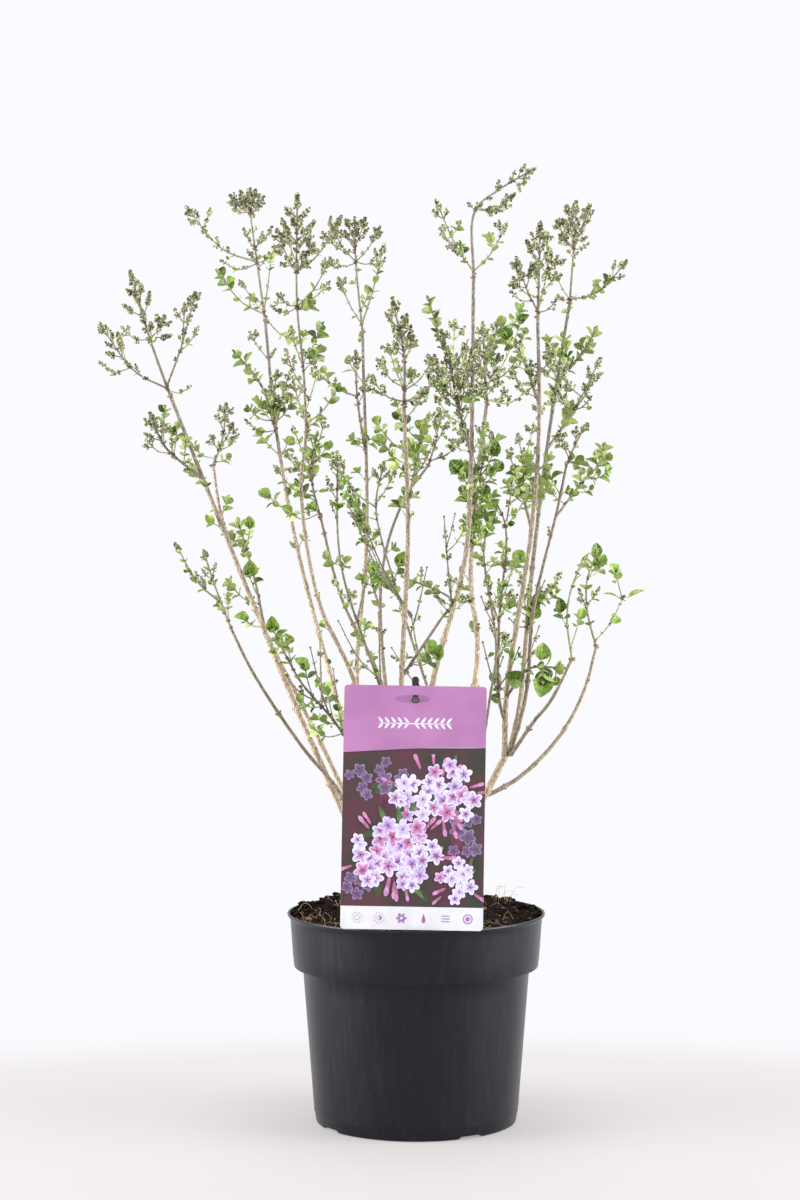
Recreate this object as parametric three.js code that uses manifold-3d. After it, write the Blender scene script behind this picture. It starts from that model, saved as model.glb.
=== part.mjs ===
// A young multi-stemmed lilac in its nursery pot: pot, soil, picture label on a stake,
// root crown, stems, boughs and leafy masses. Millimetres, +Z up, the label faces -Y.
// The origin is the middle of the pot's underside.
import * as THREE from 'three';
import { mergeVertices } from 'three/addons/utils/BufferGeometryUtils.js';
import Module from 'manifold-3d';

const wasm = await Module();
wasm.setup();

// ---- driving dimensions --------------------------------------------------------------------
const GAP = 0.3; // clearance kept between pieces that touch
const GRIDS = [0.001, 0.0016, 0.0024, 0.0036]; // spacings of the grid that fused corners are set on

const POT = { height: 155, lip: 95, collar: 92.2, collarFoot: 88.9, collarZ: 115, bodyTop: 84.2,
  bodyFoot: 75.2, wall: 1.7, footRing: 73.6, footHeight: 3.2, pad: 28, floor: 5.2, facets: 32 };
const NOTCH = { count: 4, width: 20, first: -58 }; // drainage notches in the foot ring, degrees

const SOIL = { level: 149.2, bare: 32, rings: [76, 58], roughness: 1.4, backRise: 6, facets: 28 };

const LABEL = { width: 102, height: 174, thick: 0.8, corner: 4, x: -3.8, y: -92.2, z: 155.6,
  lean: 2.3, roll: 0.7, hole: 2.6, holeHeight: 164.5 };
const STAKE = { width: 8, thick: 2, front: -84.9, foot: 120, point: 14, top: 336, aside: 2, peg: 2, head: 3.4,
  headThick: 1 };

const CROWN = { x: -8, y: 1, radius: 28, height: 16, facets: 14 };

const LIMB = { sides: 6, step: 50, flare: 1.3 };
const STALK = { step: 60, root: 1.35, tip: 0.75 };
const TWIG = { sides: 3, root: 0.8, tip: 0.5 }; // the sides are the stalk's too
const LEAF = { length: 15, width: 0.64, thick: 0.6, waist: 0.42, sunk: 0.1 }; // width is a share
const BUDS = { length: 22, radius: 3.6, widest: 0.35 }; // the head of flower buds at a twig's end
const SIDE_BUDS = { length: 11, radius: 2.3 }; // the small one at a node
const NODE_STEP = 48; // distance between the nodes along a twig
const RISE = 1.5; // how steeply a side shoot climbs away from its stalk
const SWINGS = [0.55, -0.55, 0.2, -0.2, 0.9, -0.9]; // how far it may swing back or forth, by its length

// Places in the crown are set out on the front elevation, [across, up, back]: as they appear
// beside the pot's axis from a viewpoint on the label's side, with the depth behind the axis.
const VIEWPOINT = { x: -12, distance: 2020, height: 453 };

// Stems rise from the root crown and boughs from a stem; `girth` is the radius at each end.
const LIMBS = [
  { name: 'stem_right', on: 'root_crown', girth: [3.3, 2.7],
    way: [[8, 158, -6], [28, 197, -10], [50, 239, -12], [68, 274, -14]] },
  { name: 'bough_right_front', on: 'stem_right', girth: [2.1, 1.3],
    way: [[66, 270, -16], [68, 321, -26], [86, 437, -52], [92, 515, -72], [91, 601, -92]] },
  { name: 'bough_right_back', on: 'stem_right', girth: [1.9, 1.2],
    way: [[69, 272, -12], [77, 307, 2], [86, 403, 30], [99, 509, 60], [115, 611, 88]] },
  { name: 'bough_right_middle', on: 'stem_right', girth: [1.6, 1],
    way: [[70, 272, -16], [82, 316, -30], [88, 381, -40], [106, 457, -34], [113, 491, -30]] },
  { name: 'bough_right_low', on: 'stem_right', girth: [1.5, 1.1],
    way: [[71, 272, -18], [88, 297, -34], [101, 313, -50], [117, 345, -70]] },
  { name: 'bough_far_right', on: 'stem_right', girth: [1.7, 1.2],
    way: [[46, 238, -10], [78, 256, -2], [108, 287, 14], [126, 321, 28], [135, 354, 36]] },
  { name: 'stem_centre', on: 'root_crown', girth: [2.7, 1.4],
    way: [[0, 158, 0], [9, 253, -4], [12, 323, -8], [36, 415, 0], [41, 485, 8], [43, 631, 18]] },
  { name: 'stem_back_right', on: 'root_crown', girth: [2.7, 1.5],
    way: [[6, 158, 11], [27, 238, 22], [46, 347, 48], [41, 401, 66], [45, 470, 92], [53, 536, 116]] },
  { name: 'stem_front', on: 'root_crown', girth: [2.3, 1.5],
    way: [[-7, 158, -12], [-11, 246, -22], [-11, 323, -42], [-6, 440, -84], [-9, 535, -120]] },
  { name: 'stem_back', on: 'root_crown', girth: [1.9, 1],
    way: [[-3, 158, 16], [-14, 246, 28], [-26, 403, 78], [-10, 461, 104], [10, 490, 122]] },
  { name: 'stem_back_left', on: 'root_crown', girth: [2.1, 1.2],
    way: [[-12, 158, 13], [-31, 246, 32], [-44, 323, 60], [-37, 433, 104], [-40, 589, 156]] },
  { name: 'stem_left_front', on: 'root_crown', girth: [2.1, 1.2],
    way: [[-15, 158, -12], [-45, 323, -36], [-73, 388, -56], [-86, 470, -80], [-82, 514, -92]] },
  { name: 'stem_left_inner', on: 'root_crown', girth: [1.7, 1],
    way: [[-14, 158, -3], [-18, 246, -12], [-25, 323, -22], [-56, 390, -34], [-72, 452, -44]] },
  { name: 'stem_left_back', on: 'root_crown', girth: [2.2, 1.2],
    way: [[-18, 158, 13], [-54, 295, 38], [-89, 427, 78], [-105, 519, 104], [-113, 598, 124]] },
  { name: 'stem_left', on: 'root_crown', girth: [2.5, 1.4],
    way: [[-24, 158, 0], [-56, 232, -2], [-92, 313, -6], [-159, 478, -14], [-184, 541, -20]] },
  { name: 'stem_left_twin', on: 'root_crown', girth: [2.1, 1.1],
    way: [[-23, 158, 8], [-55, 246, 12], [-116, 372, 10], [-145, 449, 22], [-152, 490, 28]] },
  { name: 'stem_far_left', on: 'root_crown', girth: [1.7, 1.1],
    way: [[-22, 158, -8], [-56, 242, -20], [-85, 278, -31], [-121, 332, -50], [-139, 368, -60]] },
];

// Each mass grows from one stalk on its limb, rooted at the limb's tip or at a height on it.
// `tips` are the ends of its long side shoots [across, up], each swung back or forth from the
// stalk; `leafy` is the share of leaves among its buds.
const TIP = 'tip';
const MASSES = [
  { name: 'mass_left_top', limb: 'stem_left', from: TIP, leafy: 0.2,
    stalk: [[-199, 583, -27], [-214, 634, -36]],
    tips: [[-237, 595], [-237, 566], [-165, 618], [-165, 590], [-188, 601]] },
  { name: 'mass_left_side', limb: 'stem_left', from: 478, leafy: 0.5,
    stalk: [[-188, 503, -26], [-199, 528, -36]],
    tips: [[-183, 510], [-202, 508]] },
  { name: 'mass_left_twin_top', limb: 'stem_left_twin', from: TIP, leafy: 0.5,
    stalk: [[-145, 508, 32], [-142, 535, 40]],
    tips: [[-137, 520], [-169, 506]] },
  { name: 'mass_left_twin_side', limb: 'stem_left_twin', from: 366, leafy: 1,
    stalk: [[-120, 400, 22], [-128, 430, 32], [-134, 449, 38]],
    tips: [[-123, 412], [-142, 404]] },
  { name: 'mass_far_left_top', limb: 'stem_far_left', from: TIP, leafy: 0.3,
    stalk: [[-152, 403, -68], [-159, 425, -78]],
    tips: [[-180, 430], [-141, 394]] },
  { name: 'mass_low_left', limb: 'stem_left_front', from: 250, leafy: 0.9,
    stalk: [[-61, 297, -38], [-87, 328, -52], [-110, 369, -64]],
    tips: [[-83, 340], [-72, 358]] },
  { name: 'mass_left_back_top', limb: 'stem_left_back', from: TIP, leafy: 0.3,
    stalk: [[-119, 641, 130], [-126, 691, 140]],
    tips: [[-149, 635], [-89, 583], [-172, 682], [-102, 654], [-144, 686]] },
  { name: 'mass_left_back_side', limb: 'stem_left_back', from: 512, leafy: 1,
    stalk: [[-116, 549, 98], [-137, 575, 92]],
    tips: [[-127, 534], [-98, 551]] },
  { name: 'mass_left_front_top', limb: 'stem_left_front', from: TIP, leafy: 0.3,
    stalk: [[-84, 556, -100], [-89, 609, -110], [-89, 692, -122]],
    tips: [[-57, 550], [-108, 608], [-64, 644], [-56, 675], [-104, 665]] },
  { name: 'mass_left_inner_top', limb: 'stem_left_inner', from: TIP, leafy: 1,
    stalk: [[-78, 479, -48], [-74, 514, -54]],
    tips: [[-97, 466], [-112, 468], [-64, 507]] },
  { name: 'mass_back_left_top', limb: 'stem_back_left', from: TIP, leafy: 0.3,
    stalk: [[-45, 640, 164], [-46, 674, 170]],
    tips: [[-24, 654], [-58, 629], [-64, 669], [-27, 667]] },
  { name: 'mass_back_left_side', limb: 'stem_back_left', from: 496, leafy: 0.5,
    stalk: [[-44, 540, 118], [-45, 574, 112]],
    tips: [[-85, 575], [-37, 549], [-27, 510]] },
  { name: 'mass_front_left_thin', limb: 'stem_front', from: 250, leafy: 0.6,
    stalk: [[-24, 313, -46], [-56, 414, -90], [-59, 499, -130]],
    tips: [[-69, 424], [-67, 480]] },
  { name: 'mass_back_thin', limb: 'stem_back_right', from: 262, leafy: 0.8,
    stalk: [[12, 313, 42], [-14, 394, 58], [-30, 457, 72], [-24, 491, 80]],
    tips: [[-62, 493], [-15, 488], [-8, 418], [-46, 452]] },
  { name: 'mass_front_top', limb: 'stem_front', from: TIP, leafy: 0.2,
    stalk: [[-9, 571, -128], [-18, 614, -138]],
    tips: [[-35, 556], [-21, 579], [21, 559], [-1, 560]] },
  { name: 'mass_front_side', limb: 'stem_front', from: 462, leafy: 1,
    stalk: [[0, 488, -84], [6, 521, -76]],
    tips: [[-20, 499], [-24, 513], [14, 508]] },
  { name: 'mass_back_top', limb: 'stem_back', from: TIP, leafy: 0.3,
    stalk: [[15, 508, 130], [18, 529, 140]],
    tips: [[39, 515], [4, 503]] },
  { name: 'mass_back_side', limb: 'stem_back', from: 380, leafy: 1,
    stalk: [[-33, 402, 94], [-37, 418, 102]],
    tips: [[-20, 410]] },
  { name: 'mass_centre_top', limb: 'stem_centre', from: TIP, leafy: 0.3,
    stalk: [[44, 679, 22], [62, 695, 30], [89, 711, 36]],
    tips: [[15, 687], [20, 660], [74, 692], [68, 669], [74, 709]] },
  { name: 'mass_centre_side', limb: 'stem_centre', from: 496, leafy: 0.5,
    stalk: [[30, 540, -10], [24, 577, -24]],
    tips: [[9, 615], [29, 598], [9, 571], [36, 579], [14, 541]] },
  { name: 'mass_back_right_top', limb: 'stem_back_right', from: TIP, leafy: 0.4,
    stalk: [[51, 568, 122], [50, 596, 128]],
    tips: [[74, 583], [62, 599], [85, 546], [40, 568]] },
  { name: 'mass_back_right_side', limb: 'stem_back_right', from: 426, leafy: 1,
    stalk: [[44, 455, 70], [48, 480, 68], [52, 505, 70]],
    tips: [[30, 482], [63, 485], [59, 455]] },
  { name: 'mass_right_front_top', limb: 'bough_right_front', from: TIP, leafy: 0.1,
    stalk: [[92, 635, -99], [93, 671, -106]],
    tips: [[75, 644], [71, 619], [101, 650], [105, 633]] },
  { name: 'mass_right_front_side', limb: 'bough_right_front', from: 535, leafy: 0.8,
    stalk: [[77, 575, -62], [62, 598, -50]],
    tips: [[80, 610], [71, 570]] },
  { name: 'mass_right_front_leafy', limb: 'bough_right_front', from: 440, leafy: 1,
    stalk: [[80, 470, -44], [82, 497, -38]],
    tips: [[72, 488], [98, 484]] },
  { name: 'mass_right_back_top', limb: 'bough_right_back', from: TIP, leafy: 0.3,
    stalk: [[118, 651, 96], [120, 686, 106]],
    tips: [[158, 642], [105, 672], [130, 684], [104, 633], [135, 652]] },
  { name: 'mass_right_back_side', limb: 'bough_right_back', from: 550, leafy: 1,
    stalk: [[126, 575, 60], [135, 592, 52]],
    tips: [[109, 588], [124, 584]] },
  { name: 'mass_right_back_lower', limb: 'bough_right_back', from: 500, leafy: 0.5,
    stalk: [[121, 535, 76], [138, 569, 92]],
    tips: [[130, 549], [113, 552], [98, 580]] },
  { name: 'mass_right_middle_top', limb: 'bough_right_middle', from: TIP, leafy: 0.4,
    stalk: [[121, 508, -26], [128, 520, -22]],
    tips: [[107, 515], [128, 492]] },
  { name: 'mass_right_middle_side', limb: 'bough_right_middle', from: 450, leafy: 0.9,
    stalk: [[126, 478, -18], [137, 490, -10], [141, 506, -4]],
    tips: [[146, 487], [98, 474]] },
  { name: 'mass_right_thin', limb: 'bough_right_front', from: 296, leafy: 0.5,
    stalk: [[62, 315, -30], [62, 369, -52], [67, 443, -92], [59, 463, -102]],
    tips: [[72, 478], [86, 475], [79, 420]] },
  { name: 'mass_centre_thin', limb: 'stem_right', from: 222, leafy: 0.8,
    stalk: [[55, 313, -44], [60, 351, -58], [51, 431, -88], [60, 450, -96]],
    tips: [[46, 444], [66, 402]] },
  { name: 'mass_right_low_top', limb: 'bough_right_low', from: TIP, leafy: 0.5,
    stalk: [[113, 373, -76], [115, 392, -81], [122, 427, -92]],
    tips: [[106, 384], [127, 382], [116, 407]] },
  { name: 'mass_far_right_top', limb: 'bough_far_right', from: TIP, leafy: 0.7,
    stalk: [[128, 381, 34], [128, 403, 34], [137, 427, 34]],
    tips: [[122, 396], [149, 378], [170, 397], [148, 414]] },
  { name: 'mass_right_foot_leaves', limb: 'bough_right_front', from: 316, leafy: 1, leaf: 16,
    stalk: [[85, 337, -46], [112, 337, -46]],
    tips: [[95, 346], [60, 329]] },
  { name: 'mass_right_middle_low', limb: 'bough_right_back', from: 362, leafy: 0.9,
    stalk: [[86, 384, 8], [97, 391, 2]],
    tips: [[72, 388], [108, 396]] },
  { name: 'mass_front_low', limb: 'stem_front', from: 330, leafy: 0.6,
    stalk: [[18, 373, -36], [27, 387, -34], [-11, 406, -26]],
    tips: [[21, 450], [12, 358]] },
];

// ---- solids: three.js geometry, joined and cut ---------------------------------------------
const COLOURS = {
  pot: 0x1d2026, soil: 0x2a211b, print: 0xc583be, stake: 0x111214,
  bark: 0xa48b70, leaf: 0x5f7f38, buds: 0x76804a,
};
const UP = new THREE.Vector3(0, 0, 1);
const radians = THREE.MathUtils.degToRad;

function seeded(seed) {
  let state = seed >>> 0;
  return () => {
    state = (state + 0x6d2b79f5) >>> 0;
    let t = state;
    t = Math.imul(t ^ (t >>> 15), t | 1);
    t ^= t + Math.imul(t ^ (t >>> 7), t | 61);
    return ((t ^ (t >>> 14)) >>> 0) / 4294967296;
  };
}

function signedVolume(points, faces) {
  const [a, b, c] = [new THREE.Vector3(), new THREE.Vector3(), new THREE.Vector3()];
  let sum = 0;
  for (let i = 0; i < faces.length; i += 3) {
    a.fromArray(points, 3 * faces[i]);
    b.fromArray(points, 3 * faces[i + 1]);
    c.fromArray(points, 3 * faces[i + 2]);
    sum += a.dot(b.cross(c));
  }
  return sum;
}

// A mesh with shared corners, outward faces and no face that has collapsed.
function sharedCorners(geometry) {
  const bare = new THREE.BufferGeometry();
  bare.setAttribute('position', geometry.getAttribute('position'));
  bare.setIndex(geometry.getIndex());
  const merged = mergeVertices(bare, 1e-4);
  const points = merged.getAttribute('position').array;
  const index = merged.getIndex().array;
  const faces = [];
  for (let i = 0; i < index.length; i += 3) {
    const [a, b, c] = [index[i], index[i + 1], index[i + 2]];
    if (a !== b && b !== c && c !== a) faces.push(a, b, c);
  }
  if (signedVolume(points, faces) < 0) faces.reverse();
  return { points, faces };
}

function everyEdgeMeetsTwoFaces(faces) {
  const uses = new Map();
  for (let i = 0; i < faces.length; i++) {
    const [a, b] = [faces[i], faces[i % 3 === 2 ? i - 2 : i + 1]];
    const edge = `${Math.min(a, b)} ${Math.max(a, b)}`;
    uses.set(edge, (uses.get(edge) ?? 0) + 1);
  }
  return [...uses.values()].every((count) => count === 2);
}

function solidFrom({ points, faces }) {
  const vertProperties = new Float32Array(points);
  const triVerts = new Uint32Array(faces);
  return new wasm.Manifold(new wasm.Mesh({ numProp: 3, vertProperties, triVerts }));
}

const solidOf = (geometry) => solidFrom(sharedCorners(geometry));

function geometryOf(solid) {
  const mesh = solid.getMesh();
  const geometry = new THREE.BufferGeometry();
  geometry.setAttribute('position', new THREE.BufferAttribute(new Float32Array(mesh.vertProperties), 3));
  geometry.setIndex(new THREE.BufferAttribute(new Uint32Array(mesh.triVerts), 1));
  geometry.computeVertexNormals();
  return geometry;
}

// The one body that matters: loose scraps are dropped.
function mainBody(solid) {
  return solid.decompose().reduce((best, piece) => (piece.volume() > best.volume() ? piece : best));
}

// The same solid with its corners on a fine grid, so that no two of them nearly meet, or null
// where its surface would touch itself along an edge on each grid.
function settled(solid) {
  for (const grid of GRIDS) {
    const geometry = geometryOf(solid);
    const { array } = geometry.getAttribute('position');
    for (let i = 0; i < array.length; i++) array[i] = Math.round(array[i] / grid) * grid;
    const mesh = sharedCorners(geometry);
    if (everyEdgeMeetsTwoFaces(mesh.faces)) return solidFrom(mesh);
  }
  return null;
}

// A round-sectioned skin through points with a radius at each; a last radius of 0 makes a point.
function skin(points, radii, sides) {
  const last = points.length - 1;
  const before = (i) => points[Math.max(i - 1, 0)];
  const after = (i) => points[Math.min(i + 1, last)];
  const tangents = points.map((_, i) => after(i).clone().sub(before(i)));
  const normal = new THREE.Vector3(1, 0, 0);
  if (Math.abs(tangents[0].x) > 0.8 * tangents[0].length()) normal.set(0, 1, 0);
  const position = [];
  const rings = points.map((point, i) => {
    const tangent = tangents[i].normalize();
    normal.addScaledVector(tangent, -normal.dot(tangent)).normalize();
    const binormal = new THREE.Vector3().crossVectors(tangent, normal);
    const first = position.length / 3;
    const count = radii[i] > 0 ? sides : 1;
    for (let k = 0; k < count; k++) {
      const turn = (2 * Math.PI * k) / sides;
      const corner = point.clone().addScaledVector(normal, radii[i] * Math.cos(turn));
      corner.addScaledVector(binormal, radii[i] * Math.sin(turn));
      position.push(...corner);
    }
    return { first, count };
  });
  const faces = [];
  for (let i = 0; i < last; i++) {
    const [low, high] = [rings[i], rings[i + 1]];
    for (let k = 0; k < sides; k++) {
      const next = (k + 1) % sides;
      const [a, b] = [low.first + k, low.first + next];
      const [d, c] = [high.first + (k % high.count), high.first + (next % high.count)];
      faces.push(a, b, c);
      if (high.count > 1) faces.push(a, c, d);
    }
  }
  for (let k = 1; k < sides - 1; k++) faces.push(0, k + 1, k);
  const { first, count } = rings[last];
  for (let k = 1; k < count - 1; k++) faces.push(first, first + k, first + k + 1);
  const geometry = new THREE.BufferGeometry();
  geometry.setAttribute('position', new THREE.BufferAttribute(new Float32Array(position), 3));
  geometry.setIndex(faces);
  return solidOf(geometry);
}

// A profile of [radius, height] turned round the upright axis.
function revolve(profile, facets) {
  const points = profile.map(([radius, height]) => new THREE.Vector2(radius, height));
  return new THREE.LatheGeometry(points, facets).rotateX(Math.PI / 2);
}

function box(width, depth, height, x, y, z, turn = 0) {
  return solidOf(new THREE.BoxGeometry(width, depth, height).translate(x, y, z).rotateZ(turn));
}

// A round rod along Y, from `front` back to `back`.
function rod(radius, facets, front, back, x, z) {
  const cylinder = new THREE.CylinderGeometry(radius, radius, back - front, facets);
  return solidOf(cylinder.translate(x, (front + back) / 2, z));
}

const group = new THREE.Group();
function addPart(name, solid, colour, roughness) {
  const material = new THREE.MeshStandardMaterial({ color: colour, roughness, metalness: 0 });
  const mesh = new THREE.Mesh(geometryOf(solid), material);
  mesh.name = name;
  group.add(mesh);
  return mesh;
}

// ---- pot, soil and label -------------------------------------------------------------------
function makePot() {
  const { height, lip, collar, collarFoot, collarZ, bodyTop, bodyFoot, wall } = POT;
  const { footRing, footHeight, pad, floor } = POT;
  const outside = [
    [0, 0], [pad, 0], [pad + 2, footHeight], [footRing - 5.6, footHeight], [footRing - 4, 0], [footRing, 0],
    [bodyFoot, 8], [bodyTop, collarZ - 0.5], [collarFoot, collarZ + 0.5], [collar, height - 9.5],
    [lip - 0.4, height - 7.5], [lip, height],
  ];
  const inside = [
    [lip - 2.4, height], [collar - wall, height - 9], [collarFoot - wall, collarZ + 2],
    [bodyTop - wall, collarZ - 1], [bodyFoot - wall, floor + 0.8], [0, floor],
  ];
  let pot = solidOf(revolve([...outside, ...inside], POT.facets));
  for (let i = 0; i < NOTCH.count; i++) {
    const turn = radians(NOTCH.first + (360 / NOTCH.count) * i);
    pot = pot.subtract(box(14, NOTCH.width, 2 * footHeight, footRing - 1, 0, 0, turn));
  }
  addPart('pot', mainBody(pot), COLOURS.pot, 0.45);
}

// The soil fills the pot, level round the root crown and cloddy towards the wall.
function makeSoil() {
  const { floor, bodyFoot, bodyTop, collar, collarFoot, collarZ, wall, height } = POT;
  const { level, bare, roughness, backRise, rings } = SOIL;
  const profile = [
    [0, floor + GAP], [bodyFoot - wall - 0.5, floor + 1.2], [bodyTop - wall - 0.4, collarZ - 0.8],
    [collarFoot - wall - 0.4, collarZ + 2.2], [collar - wall - 0.5, height - 9.2],
    [collar - wall - 0.2, level - 1.5], ...rings.map((radius) => [radius, level]), [bare, level], [0, level],
  ];
  const geometry = revolve(profile, SOIL.facets);
  const position = geometry.getAttribute('position');
  const clod = (x, y) => Math.sin(0.31 * x + 1.7) * Math.cos(0.27 * y) + 0.6 * Math.sin(0.53 * y - 0.2 * x);
  for (let i = 0; i < position.count; i++) {
    const [x, y, z] = [position.getX(i), position.getY(i), position.getZ(i)];
    const radius = Math.hypot(x, y);
    if (z < level - 0.01 || radius <= bare + 0.01) continue;
    const back = Math.max(0, y / radius) * ((radius - bare) / (rings[0] - bare));
    position.setZ(i, z + roughness * clod(x, y) + backRise * back);
  }
  const slot = box(STAKE.width + 2 * GAP, STAKE.thick + 2 * GAP, STAKE.top, LABEL.x + STAKE.aside,
    STAKE.front + STAKE.thick / 2, STAKE.foot - GAP + STAKE.top / 2);
  addPart('soil', mainBody(solidOf(geometry).subtract(slot)), COLOURS.soil, 1);
}

// The board leans back on its stake and stands on the rim; the stake's peg holds it by a hole.
function makeLabel() {
  const { width, height, corner, thick, hole, holeHeight } = LABEL;
  const outline = new THREE.Shape();
  const half = width / 2 - corner;
  const corners = [[half, corner], [half, height - corner], [-half, height - corner], [-half, corner]];
  corners.forEach(([x, z], i) => {
    const from = ((i - 1) * Math.PI) / 2;
    outline.absarc(x, z, corner, from, from + Math.PI / 2, false);
  });
  outline.holes.push(new THREE.Path().absarc(0, holeHeight, hole, 0, 2 * Math.PI, true));
  const plate = new THREE.ExtrudeGeometry(outline, { depth: thick, bevelEnabled: false, curveSegments: 4 });
  const board = addPart('label_board', solidOf(plate.rotateX(Math.PI / 2)), COLOURS.print, 0.4);
  board.position.set(LABEL.x, LABEL.y, LABEL.z);
  board.rotation.set(-radians(LABEL.lean), radians(LABEL.roll), 0);
  board.updateMatrix();

  const strip = new THREE.Shape();
  const side = STAKE.width / 2;
  const eye = new THREE.Vector3(0, -thick / 2, holeHeight).applyMatrix4(board.matrix);
  strip.moveTo(eye.x, STAKE.foot);
  strip.lineTo(eye.x + side, STAKE.foot + STAKE.point);
  strip.absarc(eye.x, STAKE.top - side, side, 0, Math.PI, false);
  strip.lineTo(eye.x - side, STAKE.foot + STAKE.point);
  const bar = new THREE.ExtrudeGeometry(strip, { depth: STAKE.thick, bevelEnabled: false, curveSegments: 5 });
  bar.rotateX(Math.PI / 2).translate(0, STAKE.front + STAKE.thick, 0);
  const capBack = eye.y - thick / 2 - GAP;
  const peg = rod(STAKE.peg, 10, capBack - STAKE.headThick / 2, STAKE.front + STAKE.thick / 2, eye.x, eye.z);
  const cap = rod(STAKE.head, 12, capBack - STAKE.headThick, capBack, eye.x, eye.z);
  addPart('label_stake', mainBody(solidOf(bar).add(peg).add(cap)), COLOURS.stake, 0.5);
}

// ---- stems and boughs ----------------------------------------------------------------------
// A place in the crown from its place on the elevation, and back again.
function placeOf([x, z, depth]) {
  const spread = 1 + depth / VIEWPOINT.distance;
  return new THREE.Vector3(VIEWPOINT.x + (x - VIEWPOINT.x) * spread, depth,
    VIEWPOINT.height + (z - VIEWPOINT.height) * spread);
}

function elevationOf({ x, y, z }) {
  const spread = 1 + y / VIEWPOINT.distance;
  return [VIEWPOINT.x + (x - VIEWPOINT.x) / spread, VIEWPOINT.height + (z - VIEWPOINT.height) / spread];
}

const curveThrough = (points) => new THREE.CatmullRomCurve3(points, false, 'centripetal');
const boxAround = (points, margin) => new THREE.Box3().setFromPoints(points).expandByScalar(margin);

const limbs = new Map(); // by name: the curve, and `grown`, the limb with its clearance round it
const taken = []; // every limb, twig and leaf as a thick line, so that nothing grows through it

function crownSolid(margin) {
  const { radius, height, facets } = CROWN;
  const ground = SOIL.level + GAP - margin;
  const profile = [
    [0, ground], [radius + margin, ground], [radius * 0.86 + margin, ground + height * 0.35 + margin],
    [radius * 0.5 + margin, ground + height * 0.85 + 2 * margin], [0, ground + height + 2 * margin],
  ];
  return solidOf(revolve(profile, facets).translate(CROWN.x, CROWN.y, 0));
}

function makeRootCrown() {
  addPart('root_crown', crownSolid(0), COLOURS.bark, 0.9);
  const heart = new THREE.Vector3(CROWN.x, CROWN.y, SOIL.level);
  limbs.set('root_crown', { grown: crownSolid(GAP), around: boxAround([heart], CROWN.radius + 5) });
}

function cutClear(solid, around) {
  let cut = solid;
  for (const limb of limbs.values()) {
    if (limb.around.intersectsBox(around)) cut = cut.subtract(limb.grown);
  }
  return mainBody(cut);
}

function claim(owner, path, radius) {
  for (let i = 0; i + 1 < path.length; i++) taken.push({ owner, a: path[i], b: path[i + 1], radius });
}

function makeLimb({ name, on, girth: [low, high], way }) {
  const curve = curveThrough(way.map(placeOf));
  const steps = Math.ceil(curve.getLength() / LIMB.step);
  const points = curve.getSpacedPoints(steps);
  const radii = points.map((_, i) => low + ((high - low) * i) / steps);
  if (on === 'root_crown') radii[0] *= LIMB.flare;
  const around = boxAround(points, 5);
  addPart(name, settled(cutClear(skin(points, radii, LIMB.sides), around)), COLOURS.bark, 0.8);
  const beyond = (end, before) => end.clone().add(end.clone().sub(before).setLength(GAP));
  const [foot, tip] = [beyond(points[0], points[1]), beyond(points[steps], points[steps - 1])];
  const sleeve = [foot, ...points.slice(1, -1), tip];
  const margin = GAP / Math.cos(Math.PI / LIMB.sides);
  const grown = skin(sleeve, radii.map((radius) => radius + margin), LIMB.sides);
  limbs.set(name, { curve, radii, around, grown });
  claim(name, points, low);
}

// ---- masses of twigs, leaves and buds ------------------------------------------------------
function segmentDistance(a, b, c, d) {
  const [u, v, w] = [b.clone().sub(a), d.clone().sub(c), a.clone().sub(c)];
  const [uu, uv, vv, uw, vw] = [u.dot(u), u.dot(v), v.dot(v), u.dot(w), v.dot(w)];
  const clamp = (value) => Math.min(1, Math.max(0, value));
  const across = uu * vv - uv * uv;
  let s = across > 1e-9 ? clamp((uv * vw - vv * uw) / across) : 0;
  const t = clamp((uv * s + vw) / vv);
  s = clamp((uv * t - uw) / uu);
  return w.addScaledVector(u, s).addScaledVector(v, -t).length();
}

function isClear(owners, a, b, radius) {
  return taken.every((other) => owners.includes(other.owner)
    || segmentDistance(a, b, other.a, other.b) > other.radius + radius + 2 * GAP);
}

function leafBlade(root, along, across, length) {
  const face = new THREE.Vector3().crossVectors(along, across);
  const half = (length * LEAF.width) / 2;
  const at = (forward, side, up) => root.clone().addScaledVector(along, forward)
    .addScaledVector(across, side).addScaledVector(face, up);
  const [base, tip] = [at(-LEAF.sunk, 0, 0), at(length, 0, 0)];
  const [left, right] = [at(length * LEAF.waist, -half, 0), at(length * LEAF.waist, half, 0)];
  const [above, below] = [LEAF.thick / 2, -LEAF.thick / 2].map((up) => at(length * 0.45, 0, up));
  const corners = [base, left, tip, right, above, below];
  const geometry = new THREE.BufferGeometry();
  const position = new Float32Array(corners.flatMap((corner) => [...corner]));
  geometry.setAttribute('position', new THREE.BufferAttribute(position, 3));
  geometry.setIndex([0, 1, 4, 1, 2, 4, 2, 3, 4, 3, 0, 4, 1, 0, 5, 2, 1, 5, 3, 2, 5, 0, 3, 5]);
  return solidOf(geometry);
}

// A direction that leaves `forward` by `angle`, turned by `roll` round it.
function leaving(forward, angle, roll) {
  const level = new THREE.Vector3(1, 0, 0).addScaledVector(forward, -forward.x).normalize();
  const other = new THREE.Vector3().crossVectors(forward, level);
  return forward.clone().multiplyScalar(Math.cos(angle))
    .addScaledVector(level, Math.sin(angle) * Math.cos(roll))
    .addScaledVector(other, Math.sin(angle) * Math.sin(roll)).normalize();
}

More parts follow.
